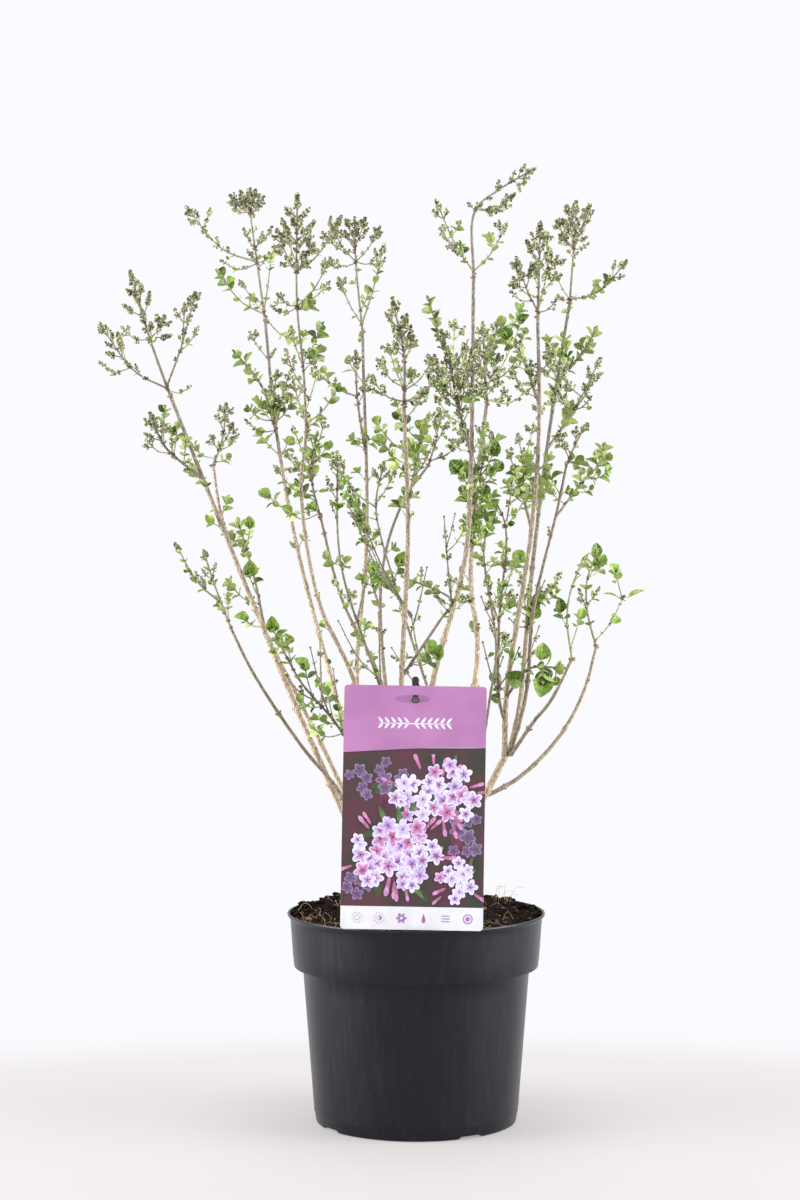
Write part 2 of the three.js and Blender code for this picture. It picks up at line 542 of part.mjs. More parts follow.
class Mass {
  constructor(row, index) {
    this.row = row;
    this.random = seeded(101 + 37 * index);
    this.pieces = [];
    this.leafLength = row.leaf ?? LEAF.length;
    const limb = limbs.get(row.limb);
    let share = 1;
    if (row.from !== TIP) {
      const misfit = (u) => Math.abs(elevationOf(limb.curve.getPointAt(u))[1] - row.from);
      for (let u = 0; u < 1; u += 0.005) if (misfit(u) < misfit(share)) share = u;
    }
    const root = limb.curve.getPointAt(share);
    if (row.from === TIP) root.addScaledVector(limb.curve.getTangentAt(1), -1);
    this.curve = curveThrough([root, ...row.stalk.map(placeOf)]);
    const limbRadius = limb.radii[Math.round(share * (limb.radii.length - 1))];
    this.rootRadius = Math.min(STALK.root, limbRadius * 0.85);
  }

  // The stalk; its first stretch starts in the limb and is cut away from it at the end.
  growStalk() {
    const steps = Math.max(2, Math.ceil(this.curve.getLength() / STALK.step));
    const path = this.curve.getSpacedPoints(steps);
    const radii = path.map((_, i) => this.rootRadius + ((STALK.tip - this.rootRadius) * i) / steps);
    this.growTwig(path, radii);
  }

  // A twig along a path. It ends in a pointed head of buds or, a little short, in two leaves.
  growTwig(path, radii) {
    const [before, end] = path.slice(-2);
    const along = end.clone().sub(before).normalize();
    const leafy = this.random() < this.row.leafy;
    const size = 0.8 + 0.4 * this.random();
    const topping = size * (leafy ? 0.7 * this.leafLength : BUDS.length);
    const neck = end.clone().addScaledVector(along, -Math.min(topping, 0.7 * end.distanceTo(before)));
    const shape = [...path.slice(0, -1), neck];
    const girths = [...radii];
    claim(this.row.name, shape, radii[0]);
    if (!leafy && isClear([this.row.name], neck, end, BUDS.radius)) {
      shape.push(neck.clone().lerp(end, BUDS.widest), end);
      girths.push(BUDS.radius, 0);
      claim(this.row.name, [neck, end], BUDS.radius);
    }
    this.pieces.push({ solid: skin(shape, girths, TWIG.sides), loose: false });
    if (!leafy) return;
    const turn = this.random() * Math.PI;
    const node = neck.clone().addScaledVector(along, -0.8);
    for (const roll of [turn, turn + Math.PI]) this.addLeaf(node, along, 0.5, roll);
  }

  addLeaf(root, along, angle, roll) {
    const forward = leaving(along, angle, roll);
    const length = this.leafLength * (0.8 + 0.4 * this.random());
    const level = new THREE.Vector3().crossVectors(forward, UP).normalize();
    const across = leaving(forward, Math.PI / 2, 0).lerp(level, 0.5 + 0.4 * this.random());
    across.addScaledVector(forward, -across.dot(forward)).normalize();
    const tip = root.clone().addScaledVector(forward, length);
    const near = root.clone().addScaledVector(forward, 3);
    const half = (length * LEAF.width) / 2;
    if (!isClear([this.row.name], near, tip, half)) return;
    this.pieces.push({ solid: leafBlade(root, forward, across, length), loose: true });
    claim(this.row.name, [near, tip], half);
  }

  // A long side shoot that ends at a place on the elevation, from the node that suits its rise.
  growShoot([x, z], index) {
    let share = 0.04;
    const misfit = (u) => {
      const [rootX, rootZ] = elevationOf(this.curve.getPointAt(u));
      return Math.abs(z - rootZ - RISE * Math.abs(x - rootX));
    };
    for (let u = 0.04; u < 0.9; u += 0.02) if (misfit(u) < misfit(share)) share = u;
    const root = this.curve.getPointAt(share);
    const [rootX, rootZ] = elevationOf(root);
    const reach = Math.hypot(x - rootX, z - rootZ);
    const side = index % 2 ? 1 : -1;
    for (const swing of SWINGS) {
      const end = placeOf([x, z, root.y + side * swing * reach]);
      const middle = root.clone().lerp(end, 0.5).addScaledVector(UP, -0.06 * reach);
      const start = root.clone().lerp(middle, 0.2);
      const owners = share < 0.1 ? [this.row.name, this.row.limb] : [this.row.name];
      if (!isClear(owners, start, middle, TWIG.root)) continue;
      if (!isClear([this.row.name], middle, end, TWIG.root)) continue;
      this.growTwig([root, middle, end], [TWIG.root, TWIG.root, TWIG.tip]);
      this.growPairs([root, middle, end], 0.25, 0.75);
      return;
    }
  }

  // Opposite pairs at even nodes, each pair at right angles to the one before.
  growPairs(path, from, to) {
    const curve = curveThrough(path);
    const nodes = Math.floor((curve.getLength() * (to - from)) / NODE_STEP + 0.5);
    const turn = this.random() * Math.PI;
    for (let i = 0; i < nodes; i++) {
      const share = from + ((to - from) * (i + 0.5)) / nodes;
      const [at, along] = [curve.getPointAt(share), curve.getTangentAt(share)];
      const roll = turn + (i % 2) * (Math.PI / 2);
      this.growSide(at, along, roll);
      this.growSide(at, along, roll + Math.PI);
    }
  }

  growSide(at, along, roll) {
    if (this.random() < this.row.leafy) {
      this.addLeaf(at, along, 1, roll);
      return;
    }
    const forward = leaving(along, 0.75, roll);
    const length = SIDE_BUDS.length * (0.7 + 0.5 * this.random());
    const out = (share) => at.clone().addScaledVector(forward, share * length);
    const [start, widest, tip] = [out(0.25), out(0.6), out(1)];
    if (!isClear([this.row.name], start, tip, SIDE_BUDS.radius)) return;
    const head = skin([at, widest, tip], [TWIG.root * 0.9, SIDE_BUDS.radius, 0], TWIG.sides);
    this.pieces.push({ solid: head, loose: true });
    claim(this.row.name, [start, tip], SIDE_BUDS.radius);
  }

  // The pieces fused and cut clear of the limbs.
  fused(pieces) {
    const own = taken.filter((piece) => piece.owner === this.row.name);
    const around = boxAround(own.flatMap((piece) => [piece.a, piece.b]), 4);
    const whole = pieces.map((piece) => piece.solid).reduce((sum, solid) => sum.add(solid));
    return settled(cutClear(whole, around));
  }

  // Where the fused mass won't close, it does with one leaf fewer.
  finish() {
    let solid = this.fused(this.pieces);
    for (let i = this.pieces.length - 1; solid === null && i > 0; i--) {
      if (this.pieces[i].loose) solid = this.fused(this.pieces.filter((_, k) => k !== i));
    }
    addPart(this.row.name, solid, this.row.leafy < 0.5 ? COLOURS.buds : COLOURS.leaf, 0.7);
  }
}

makePot();
makeSoil();
makeLabel();
makeRootCrown();
LIMBS.forEach(makeLimb);
const masses = MASSES.map((row, index) => new Mass(row, index));
masses.forEach((mass) => mass.growStalk());
masses.forEach((mass) => mass.row.tips.forEach((tip, index) => mass.growShoot(tip, index)));
masses.forEach((mass) => mass.growPairs(mass.curve.getSpacedPoints(8), 0.2, 0.85));
masses.forEach((mass) => mass.finish());

export default group;
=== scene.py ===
"""The looks of a young multi-stemmed lilac in its nursery pot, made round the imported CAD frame.

Lengths are millimetres and turn into Blender's metres where a mesh is made. +Z is up, the label
faces -Y, and the origin is the middle of the pot's underside.
"""
import math
from types import SimpleNamespace as Sizes

import bpy
import numpy as np
from mathutils import Matrix, Vector, kdtree, noise


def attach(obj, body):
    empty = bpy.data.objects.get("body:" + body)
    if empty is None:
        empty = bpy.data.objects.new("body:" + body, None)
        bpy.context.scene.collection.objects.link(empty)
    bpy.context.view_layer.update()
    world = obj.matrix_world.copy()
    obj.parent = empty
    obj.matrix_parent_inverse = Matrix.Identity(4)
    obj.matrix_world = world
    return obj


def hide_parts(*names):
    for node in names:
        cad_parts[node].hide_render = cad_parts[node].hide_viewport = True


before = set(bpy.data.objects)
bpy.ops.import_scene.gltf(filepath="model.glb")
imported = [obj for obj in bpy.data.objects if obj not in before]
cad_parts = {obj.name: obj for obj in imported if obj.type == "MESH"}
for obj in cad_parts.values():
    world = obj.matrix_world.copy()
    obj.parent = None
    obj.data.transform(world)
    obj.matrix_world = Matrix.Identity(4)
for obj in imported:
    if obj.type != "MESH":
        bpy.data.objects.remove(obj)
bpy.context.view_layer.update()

# ---- driving dimensions ----------------------------------------------------------------------
MM = 0.001  # in Blender's metres
PIECE_TRIANGLES = 185_000  # the most that one joined piece of the crown holds

# Places in the crown are set out on the front elevation, (across, up, back): as they appear
# beside the pot's axis from the viewpoint, with the depth behind the axis.
VIEWPOINT = Sizes(x=-12, distance=2020, height=453)
CAMERA = Sizes(lens=81, sensor=36, shift=-0.0723)

POT = Sizes(height=155, lip=96.3, collar=94, collar_foot=91.2, collar_z=115, body_top=84.6,
            body_foot=76.2, wall=1.7, foot_ring=74.6, foot_height=3.2, pad=28, floor=5.2, segments=224)
NOTCH = Sizes(count=4, width=20, first=-58, rise=1.9)
SOIL = Sizes(level=149.6, edge=91.4, bare=32, back_rise=6, rings=64, segments=224, deep=16)
# Crumbs lie all over the soil and along its back rim; fibres lie on it and stiff hairs stand up.
SOIL_CRUMBS = Sizes(count=1100, inset=1.2, least=0.6, more=1.9)
RIM_CRUMBS = Sizes(count=330, inset=6, size=2.4)
HAIRS = Sizes(count=7, at=0.68, spread=0.46, rise=13, radius=0.12)
FIBRES = Sizes(count=115, points=7)
LABEL = Sizes(width=102, height=174, thick=0.8, corner=2.6, x=-3.8, y=-92.2, z=155.6, lean=2.3, roll=1,
              eye=164.5, footer=16.4, picture=125.7, rise=4.4)
STAKE = Sizes(width=8, thick=2, front=-84.9, foot=120, point=14, shoulder=322, neck=1.9, knob=2.8,
              top=336, peg=2, rivet=3.1, rivet_thick=1, bevel=0.35, rivet_sides=32)
CROWN = Sizes(x=-8, y=1, radius=28, height=16, ground=149.5)

TIP = None  # in place of a height: rooted at the tip of the limb
LIMB = Sizes(step=1.6, sides=14, node=38, swell=0.16, flare=1.3, slim=0.08)
# Twigs: their radii at root and tip, and how far their pairs of buds or leaves are apart.
STALK = Sizes(root=1.3, tip=0.6, pairs=12)
SHOOT = Sizes(root=0.82, tip=0.42, step=3.0, sides=6, pairs=8.5, sprig_pairs=6, leaf=6.5, clear=1.5)
RISE = 1.5  # how steeply a shoot rises that has no root height
SAG = (0.06, 0.16)  # how far a shoot bows down and what a level one adds, as shares of its reach
SWINGS = (0.55, -0.55, 0.2, -0.2, 0.9, -0.9)  # how far a shoot goes forth or back, in order of trial
# The axils of a limb: bare under `low`, and crowded from `dense` to `high`. `often` and `seldom`
# are the chances that one grows something, the last two those of a sprig and else of a tuft.
AXILS = Sizes(low=335, dense=445, high=575, often=0.78, seldom=0.3, sprig=0.65, tuft=0.7)
SPRIG = Sizes(root=0.5, reach=13, further=17, leaf=8, larger=4)

# Stems rise from the root crown and boughs from a stem; the two radii are those of their ends.
LIMBS = [
    ("stem_right", "root_crown", (3.3, 2.7), [(8, 158, -6), (28, 197, -10), (50, 239, -12), (68, 274, -14)]),
    ("bough_right_front", "stem_right", (2.1, 1.3),
     [(66, 270, -16), (68, 321, -26), (86, 437, -52), (92, 515, -72), (91, 601, -92)]),
    ("bough_right_back", "stem_right", (1.9, 1.2),
     [(69, 272, -12), (77, 307, 2), (86, 403, 30), (99, 509, 60), (115, 611, 88)]),
    ("bough_right_middle", "stem_right", (1.6, 1),
     [(70, 272, -16), (82, 316, -30), (88, 381, -40), (106, 457, -34), (113, 491, -30)]),
    ("bough_right_low", "stem_right", (1.5, 1.1),
     [(71, 272, -18), (88, 297, -34), (101, 313, -50), (117, 345, -70)]),
    ("bough_far_right", "stem_right", (1.7, 1.2),
     [(46, 238, -10), (78, 256, -2), (108, 287, 14), (126, 321, 28), (135, 354, 36)]),
    ("stem_centre", "root_crown", (2.7, 1.4),
     [(0, 158, 0), (9, 253, -4), (12, 323, -8), (36, 415, 0), (41, 485, 8), (43, 631, 18)]),
    ("stem_back_right", "root_crown", (2.7, 1.5),
     [(6, 158, 11), (27, 238, 22), (46, 347, 48), (41, 401, 66), (45, 470, 92), (53, 536, 116)]),
    ("stem_front", "root_crown", (2.3, 1.5),
     [(-7, 158, -12), (-11, 246, -22), (-11, 323, -42), (-6, 440, -84), (-9, 535, -120)]),
    ("stem_back", "root_crown", (1.9, 1),
     [(-3, 158, 16), (-14, 246, 28), (-26, 403, 78), (-10, 461, 104), (10, 490, 122)]),
    ("stem_back_left", "root_crown", (2.1, 1.2),
     [(-12, 158, 13), (-31, 246, 32), (-44, 323, 60), (-37, 433, 104), (-40, 589, 156)]),
    ("stem_left_front", "root_crown", (2.1, 1.2),
     [(-15, 158, -12), (-45, 323, -36), (-73, 388, -56), (-86, 470, -80), (-82, 514, -92)]),
    ("stem_left_inner", "root_crown", (1.7, 1),
     [(-14, 158, -3), (-18, 246, -12), (-25, 323, -22), (-56, 390, -34), (-72, 452, -44)]),
    ("stem_left_back", "root_crown", (2.2, 1.2),
     [(-18, 158, 13), (-54, 295, 38), (-89, 427, 78), (-105, 519, 104), (-113, 598, 124)]),
    ("stem_left", "root_crown", (2.5, 1.4),
     [(-24, 158, 0), (-56, 232, -2), (-92, 313, -6), (-159, 478, -14), (-184, 541, -20)]),
    ("stem_left_twin", "root_crown", (2.1, 1.1),
     [(-23, 158, 8), (-55, 246, 12), (-116, 372, 10), (-145, 449, 22), (-152, 490, 28)]),
    ("stem_far_left", "root_crown", (1.7, 1.1),
     [(-22, 158, -8), (-56, 242, -20), (-85, 278, -31), (-121, 332, -50), (-139, 368, -60)]),
]

# Each mass grows from one stalk, rooted at its limb's tip or at a height on it. What grows at an
# end is a head of buds H, a dark one D, a pale one P, leaves with a head M, a bare twig T, a leafy
# shoot L, a dark one G, a broad leaf B, a dark one K or a narrow one N, with the head's length or
# the leaf's. A shoot is (across, up, root height, end, size), and may name the earlier shoot that
# it forks from; a root height of 0 leaves the root to the rise of the shoot.
H, D, P, M, T = "head", "dark head", "pale head", "mixed", "twig"
L, G, B, K, N = "leaves", "dark leaves", "broad leaf", "dark broad leaf", "narrow leaf"
MASSES = [
    ("mass_left_top", "stem_left", TIP, [(-199, 583, -27), (-214, 634, -36)], H, 42, [
        (-237, 595, 546, H, 30), (-237, 566, 562, H, 9, 0), (-165, 618, 548, D, 15),
        (-163, 592, 574, H, 13, 2), (-188, 601, 583, H, 20), (-221, 581, 566, H, 12, 0),
        (-205, 624, 610, H, 11), (-173, 610, 580, H, 18, 2), (-169, 548, 545, H, 5),
        (-220, 592, 583, H, 14)]),
    ("mass_left_side", "stem_left", 478, [(-188, 503, -26), (-199, 528, -36)], H, 22, [
        (-183, 510, 497, H, 10), (-202, 508, 498, H, 10), (-188, 534, 505, L, 9), (-178, 522, 496, L, 10),
        (-172, 511, 490, L, 9), (-195, 519, 510, H, 8)]),
    ("mass_left_twin_top", "stem_left_twin", TIP, [(-145, 508, 32), (-142, 535, 40)], H, 20, [
        (-137, 520, 503, H, 12), (-169, 506, 494, L, 9), (-154, 511, 500, H, 9), (-138, 497, 492, L, 8),
        (-148, 527, 514, H, 9), (-133, 512, 500, M, 8)]),
    ("mass_left_twin_side", "stem_left_twin", 366,
     [(-120, 400, 22), (-128, 430, 32), (-134, 449, 38)], L, 13, [
        (-126, 411, 390, B, 14), (-142, 404, 385, L, 10), (-124, 446, 426, B, 10), (-130, 432, 414, B, 11),
        (-130, 376, 366, B, 11), (-142, 440, 426, L, 9)]),
    ("mass_far_left_top", "stem_far_left", TIP, [(-152, 403, -68), (-159, 425, -78)], M, 12, [
        (-180, 430, 386, M, 12), (-141, 394, 372, L, 7), (-172, 414, 404, H, 7, 0),
        (-165, 409, 396, H, 6, 0), (-149, 387, 378, L, 7), (-160, 411, 404, H, 7), (-150, 415, 405, H, 7)]),
    ("mass_low_left", "stem_left_front", 250, [(-61, 297, -38), (-87, 328, -52), (-109, 370, -64)], B, 13, [
        (-104, 342, 312, T, 4), (-62, 336, 288, T, 4), (-84, 341, 316, B, 13), (-72, 358, 308, T, 4),
        (-79, 352, 302, T, 4), (-97, 359, 336, B, 11), (-80, 295, 288, L, 9), (-67, 323, 298, B, 13),
        (-89, 316, 308, L, 10), (-77, 303, 296, L, 10), (-58, 310, 290, L, 8), (-104, 362, 344, L, 9)]),
    ("mass_left_back_top", "stem_left_back", TIP, [(-119, 641, 130), (-126, 691, 140)], D, 15, [
        (-149, 635, 602, L, 12), (-89, 583, 598, L, 9), (-172, 682, 641, D, 22), (-102, 654, 640, M, 16),
        (-154, 681, 666, H, 9, 2), (-132, 627, 610, D, 13), (-160, 667, 658, H, 9, 2),
        (-146, 642, 640, H, 6), (-108, 648, 604, L, 8), (-141, 652, 648, H, 7, 2), (-131, 694, 678, D, 12),
        (-139, 691, 677, D, 13), (-114, 690, 677, D, 13), (-120, 695, 679, D, 12), (-127, 687, 676, D, 9),
        (-124, 617, 604, L, 8), (-129, 666, 650, H, 9), (-115, 663, 650, H, 7), (-108, 667, 652, H, 9),
        (-110, 648, 636, M, 9), (-126, 650, 641, H, 6), (-135, 688, 679, D, 9), (-118, 687, 679, D, 9),
        (-124, 696, 681, D, 10), (-129, 691, 680, D, 9), (-138, 684, 678, D, 8), (-115, 684, 678, D, 8)]),
    ("mass_left_back_side", "stem_left_back", 512, [(-116, 549, 98), (-137, 575, 92)], L, 12, [
        (-127, 534, 522, L, 9), (-98, 551, 520, L, 13), (-128, 523, 515, H, 8), (-125, 562, 548, L, 10),
        (-91, 540, 520, L, 10), (-108, 536, 520, L, 9), (-104, 560, 530, M, 14), (-110, 548, 522, P, 14),
        (-100, 540, 516, M, 10), (-120, 540, 520, G, 11), (-94, 560, 524, P, 14)]),
    ("mass_left_front_top", "stem_left_front", TIP,
     [(-84, 556, -100), (-89, 609, -110), (-89, 692, -122)], H, 34, [
        (-57, 550, 520, L, 10), (-108, 608, 607, H, 6), (-64, 644, 608, M, 14), (-56, 675, 633, D, 26),
        (-104, 665, 633, D, 20), (-71, 526, 516, L, 9), (-104, 617, 608, H, 10), (-76, 612, 606, L, 13),
        (-71, 579, 560, L, 10), (-65, 626, 612, M, 10), (-82, 648, 634, H, 16), (-96, 660, 640, H, 13),
        (-80, 666, 648, H, 14), (-98, 645, 634, H, 10), (-83, 590, 580, L, 8), (-92, 552, 522, M, 14),
        (-74, 560, 530, P, 14), (-98, 575, 545, H, 14), (-70, 596, 566, G, 11), (-94, 592, 562, M, 12),
        (-76, 655, 642, H, 10), (-100, 672, 655, H, 9), (-84, 678, 662, H, 9), (-94, 681, 668, H, 8)]),
    ("mass_left_inner_top", "stem_left_inner", TIP, [(-78, 479, -48), (-74, 514, -54)], L, 12, [
        (-97, 455, 448, B, 10), (-113, 468, 456, B, 11), (-64, 507, 492, L, 12), (-86, 491, 478, L, 12),
        (-81, 460, 455, L, 9), (-83, 502, 490, L, 10), (-98, 500, 478, H, 16), (-92, 518, 486, M, 12),
        (-84, 530, 500, P, 14), (-106, 488, 466, M, 12), (-68, 524, 496, M, 12), (-76, 498, 474, P, 14),
        (-90, 478, 462, G, 11)]),
    ("mass_back_left_top", "stem_back_left", TIP, [(-45, 640, 164), (-46, 674, 170)], D, 19, [
        (-24, 654, 594, M, 22), (-58, 629, 594, M, 15), (-64, 669, 641, D, 18), (-27, 667, 641, D, 20),
        (-38, 674, 652, D, 18), (-70, 663, 648, D, 10), (-52, 672, 656, D, 12), (-64, 643, 640, H, 8),
        (-27, 645, 641, T, 4), (-34, 622, 604, L, 10), (-53, 664, 650, H, 12)]),
    ("mass_back_left_side", "stem_back_left", 496, [(-44, 540, 118), (-45, 574, 112)], H, 20, [
        (-85, 575, 540, M, 10), (-37, 549, 535, H, 12), (-27, 510, 505, L, 10), (-69, 563, 550, L, 10, 0),
        (-74, 577, 562, L, 9, 0), (-50, 511, 502, L, 9), (-39, 516, 505, L, 9), (-60, 554, 547, H, 8, 0)]),
    ("mass_front_left_thin", "stem_front", 250,
     [(-24, 313, -46), (-56, 414, -90), (-59, 499, -130)], M, 14, [
        (-28, 378, 322, T, 4), (-58, 372, 330, T, 4), (-34, 428, 372, T, 4), (-69, 424, 414, L, 11),
        (-67, 480, 462, H, 8), (-51, 421, 412, L, 9), (-54, 486, 470, H, 8), (-52, 470, 456, L, 6),
        (-64, 462, 450, H, 6), (-50, 395, 376, P, 10), (-38, 374, 358, L, 8), (-46, 366, 350, L, 8),
        (-62, 404, 388, P, 10), (-34, 350, 336, L, 7)]),
    ("mass_back_thin", "stem_back_right", 262,
     [(12, 313, 42), (-14, 394, 58), (-30, 457, 72), (-24, 491, 80)], M, 14, [
        (-4, 378, 330, T, 4), (-18, 352, 318, T, 4), (8, 412, 362, T, 4), (-36, 432, 396, T, 4),
        (-62, 493, 458, M, 12), (-15, 488, 460, M, 12), (-12, 419, 402, B, 14), (-47, 461, 448, K, 13),
        (-50, 476, 464, H, 7, 0), (-44, 449, 438, K, 13), (-33, 412, 400, B, 14), (-21, 400, 390, B, 12),
        (-59, 480, 472, H, 7, 0), (-37, 442, 430, B, 12)]),
    ("mass_front_top", "stem_front", TIP, [(-9, 571, -128), (-18, 614, -138)], H, 44, [
        (-35, 556, 536, H, 16), (-21, 579, 545, M, 12), (21, 563, 536, H, 14), (-1, 560, 545, H, 10),
        (-9, 598, 570, H, 28), (-3, 583, 566, H, 10), (-29, 568, 547, H, 10), (10, 548, 536, H, 8),
        (14, 571, 545, H, 12), (-14, 566, 548, H, 8)]),
    ("mass_front_side", "stem_front", 462, [(0, 488, -84), (6, 521, -76)], L, 12, [
        (-20, 499, 480, L, 13), (-27, 509, 488, B, 12), (14, 508, 480, M, 8), (-31, 522, 498, B, 10),
        (-6, 509, 492, L, 12), (-9, 507, 488, K, 12), (-1, 505, 490, L, 11), (4, 520, 500, B, 11),
        (1, 469, 464, L, 9), (10, 528, 505, P, 14), (-14, 530, 506, G, 11)]),
    ("mass_back_top", "stem_back", TIP, [(15, 508, 130), (18, 529, 140)], H, 14, [
        (39, 515, 492, H, 18), (4, 503, 492, L, 9), (27, 508, 500, H, 7, 0), (14, 523, 510, H, 9),
        (23, 521, 505, H, 9), (33, 506, 500, H, 6, 0)]),
    ("mass_back_side", "stem_back", 380, [(-33, 402, 94), (-37, 418, 102)], L, 13, [
        (-20, 410, 395, L, 12), (-42, 408, 398, L, 9)]),
    ("mass_centre_top", "stem_centre", TIP, [(44, 679, 22), (62, 695, 30), (89, 711, 36)], H, 18, [
        (15, 687, 634, M, 20), (18, 666, 652, H, 9, 0), (74, 692, 680, H, 20), (68, 669, 634, M, 14),
        (74, 709, 700, H, 8), (39, 685, 680, D, 5), (49, 684, 680, D, 5), (25, 656, 646, H, 9, 0),
        (33, 657, 643, L, 9, 0), (54, 663, 650, L, 9, 3), (62, 672, 660, H, 9, 3), (67, 686, 682, H, 8),
        (82, 700, 702, H, 5), (62, 702, 694, H, 9), (33, 672, 660, L, 7, 0)]),
    ("mass_centre_side", "stem_centre", 496, [(30, 540, -10), (24, 577, -24)], P, 26, [
        (9, 615, 560, G, 11), (29, 598, 558, P, 22), (9, 571, 535, H, 16), (36, 579, 535, P, 32),
        (14, 541, 520, P, 14), (14, 600, 590, L, 9, 0), (19, 590, 560, H, 20), (38, 562, 528, P, 26),
        (15, 553, 540, L, 10), (21, 530, 510, P, 14), (33, 519, 505, H, 14), (25, 508, 500, P, 10),
        (45, 575, 540, P, 24), (21, 562, 535, H, 18), (30, 558, 520, P, 22), (45, 548, 520, P, 18),
        (9, 556, 532, H, 12)]),
    ("mass_back_right_top", "stem_back_right", TIP, [(51, 568, 122), (50, 596, 128)], P, 36, [
        (74, 583, 548, P, 16), (62, 599, 560, H, 18), (85, 546, 538, P, 12), (40, 568, 538, P, 30),
        (64, 591, 565, L, 11), (62, 572, 545, H, 22), (56, 574, 560, L, 8), (69, 545, 538, P, 12),
        (80, 574, 550, M, 14), (62, 557, 540, P, 18), (45, 582, 550, H, 22), (57, 586, 560, P, 18),
        (45, 553, 538, P, 18), (34, 560, 538, H, 14)]),
    ("mass_back_right_side", "stem_back_right", 426, [(44, 455, 70), (48, 480, 68), (52, 505, 70)], L, 12, [
        (31, 488, 466, K, 14), (61, 488, 470, K, 12), (57, 449, 438, K, 13), (33, 491, 475, L, 13),
        (38, 468, 455, L, 10), (47, 457, 444, K, 12), (59, 501, 480, K, 12), (51, 470, 454, K, 12),
        (47, 433, 428, L, 10), (60, 470, 455, L, 12), (41, 502, 480, H, 12), (57, 513, 490, H, 12),
        (36, 452, 436, G, 13), (52, 440, 430, G, 13), (34, 474, 452, G, 13), (58, 462, 446, G, 12),
        (56, 488, 470, G, 13), (43, 442, 430, B, 12), (38, 492, 472, G, 12), (62, 512, 490, L, 12),
        (50, 520, 498, P, 14)]),
    ("mass_right_front_top", "bough_right_front", TIP, [(92, 635, -99), (93, 671, -106)], H, 36, [
        (75, 644, 604, H, 25), (71, 619, 612, H, 8, 0), (101, 650, 604, P, 24), (105, 633, 620, H, 10, 2),
        (73, 629, 616, H, 10, 0), (98, 663, 636, P, 16, 2), (86, 640, 622, P, 10),
        (106, 645, 632, H, 11, 2), (106, 614, 603, H, 7), (84, 655, 640, H, 12)]),
    ("mass_right_front_side", "bough_right_front", 535, [(77, 575, -62), (62, 598, -50)], L, 10, [
        (80, 610, 588, L, 11), (71, 570, 560, L, 9), (79, 599, 582, K, 10), (82, 591, 575, K, 9),
        (67, 587, 573, K, 11), (74, 583, 568, H, 10), (86, 567, 550, H, 10), (64, 592, 584, L, 10),
        (70, 560, 548, M, 12), (90, 556, 545, H, 12), (76, 552, 540, P, 12)]),
    ("mass_right_front_leafy", "bough_right_front", 440, [(80, 470, -44), (82, 497, -38)], L, 12, [
        (72, 488, 472, L, 12), (98, 484, 462, L, 12), (79, 496, 485, L, 10), (91, 478, 460, L, 13),
        (84, 474, 462, L, 11), (88, 490, 475, L, 11), (75, 478, 462, L, 10), (68, 500, 478, M, 12),
        (92, 505, 485, M, 12), (76, 512, 490, H, 12), (66, 478, 460, G, 11), (88, 520, 496, P, 14)]),
    ("mass_right_back_top", "bough_right_back", TIP, [(118, 651, 96), (120, 686, 106)], D, 32, [
        (158, 642, 613, M, 22), (105, 672, 651, H, 14), (130, 684, 651, H, 28), (104, 633, 613, M, 12),
        (129, 655, 651, H, 6), (113, 683, 655, H, 24), (126, 669, 655, H, 16), (107, 661, 652, H, 10),
        (145, 631, 622, L, 9, 0), (135, 628, 618, L, 7, 0), (106, 616, 613, H, 6), (138, 622, 615, L, 7)]),
    ("mass_right_back_side", "bough_right_back", 550, [(126, 575, 60), (135, 592, 52)], L, 14, [
        (109, 588, 562, L, 13), (124, 584, 572, L, 9), (107, 576, 560, L, 11), (131, 580, 572, L, 9),
        (118, 570, 562, L, 8)]),
    ("mass_right_back_lower", "bough_right_back", 500, [(121, 535, 76), (138, 569, 92)], H, 24, [
        (130, 549, 532, H, 10), (113, 552, 520, H, 12), (98, 580, 525, M, 32), (117, 537, 520, L, 14),
        (131, 540, 530, H, 8), (116, 526, 515, L, 11), (100, 549, 530, H, 14), (104, 565, 540, M, 16),
        (133, 558, 545, H, 10)]),
    ("mass_right_middle_top", "bough_right_middle", TIP, [(121, 508, -26), (128, 520, -22)], H, 13, [
        (107, 515, 494, H, 14), (128, 492, 492, L, 9), (120, 517, 505, H, 11), (124, 496, 492, L, 9)]),
    ("mass_right_middle_side", "bough_right_middle", 450,
     [(126, 478, -18), (137, 490, -10), (141, 506, -4)], L, 12, [
        (146, 487, 480, L, 10), (98, 474, 460, L, 8), (134, 500, 488, L, 11), (145, 498, 490, L, 10),
        (123, 487, 475, L, 9), (133, 473, 470, L, 7), (117, 471, 465, L, 9)]),
    ("mass_right_thin", "bough_right_front", 296,
     [(62, 315, -30), (62, 369, -52), (67, 443, -92), (59, 463, -102)], H, 9, [
        (50, 356, 316, T, 4), (77, 352, 322, T, 4), (52, 404, 372, T, 4), (74, 420, 385, M, 6),
        (72, 478, 443, H, 8), (86, 475, 443, M, 12), (79, 420, 410, L, 9), (66, 421, 412, L, 9),
        (53, 466, 452, L, 8), (77, 421, 400, B, 11), (62, 403, 388, T, 4), (56, 388, 370, P, 12),
        (72, 395, 376, P, 12), (55, 372, 354, T, 4), (69, 362, 345, P, 10), (64, 432, 416, B, 10)]),
    ("mass_centre_thin", "stem_right", 222,
     [(55, 313, -44), (60, 351, -58), (51, 431, -88), (60, 450, -96)], L, 9, [
        (46, 444, 425, L, 10), (63, 375, 330, T, 4), (66, 402, 385, L, 8), (71, 388, 375, L, 8),
        (60, 420, 408, L, 7), (45, 424, 414, L, 8), (49, 390, 370, T, 4), (65, 345, 330, T, 4),
        (52, 404, 386, P, 12), (66, 362, 344, P, 10)]),
    ("mass_right_low_top", "bough_right_low", TIP,
     [(113, 373, -76), (115, 392, -81), (125, 420, -92)], N, 13, [
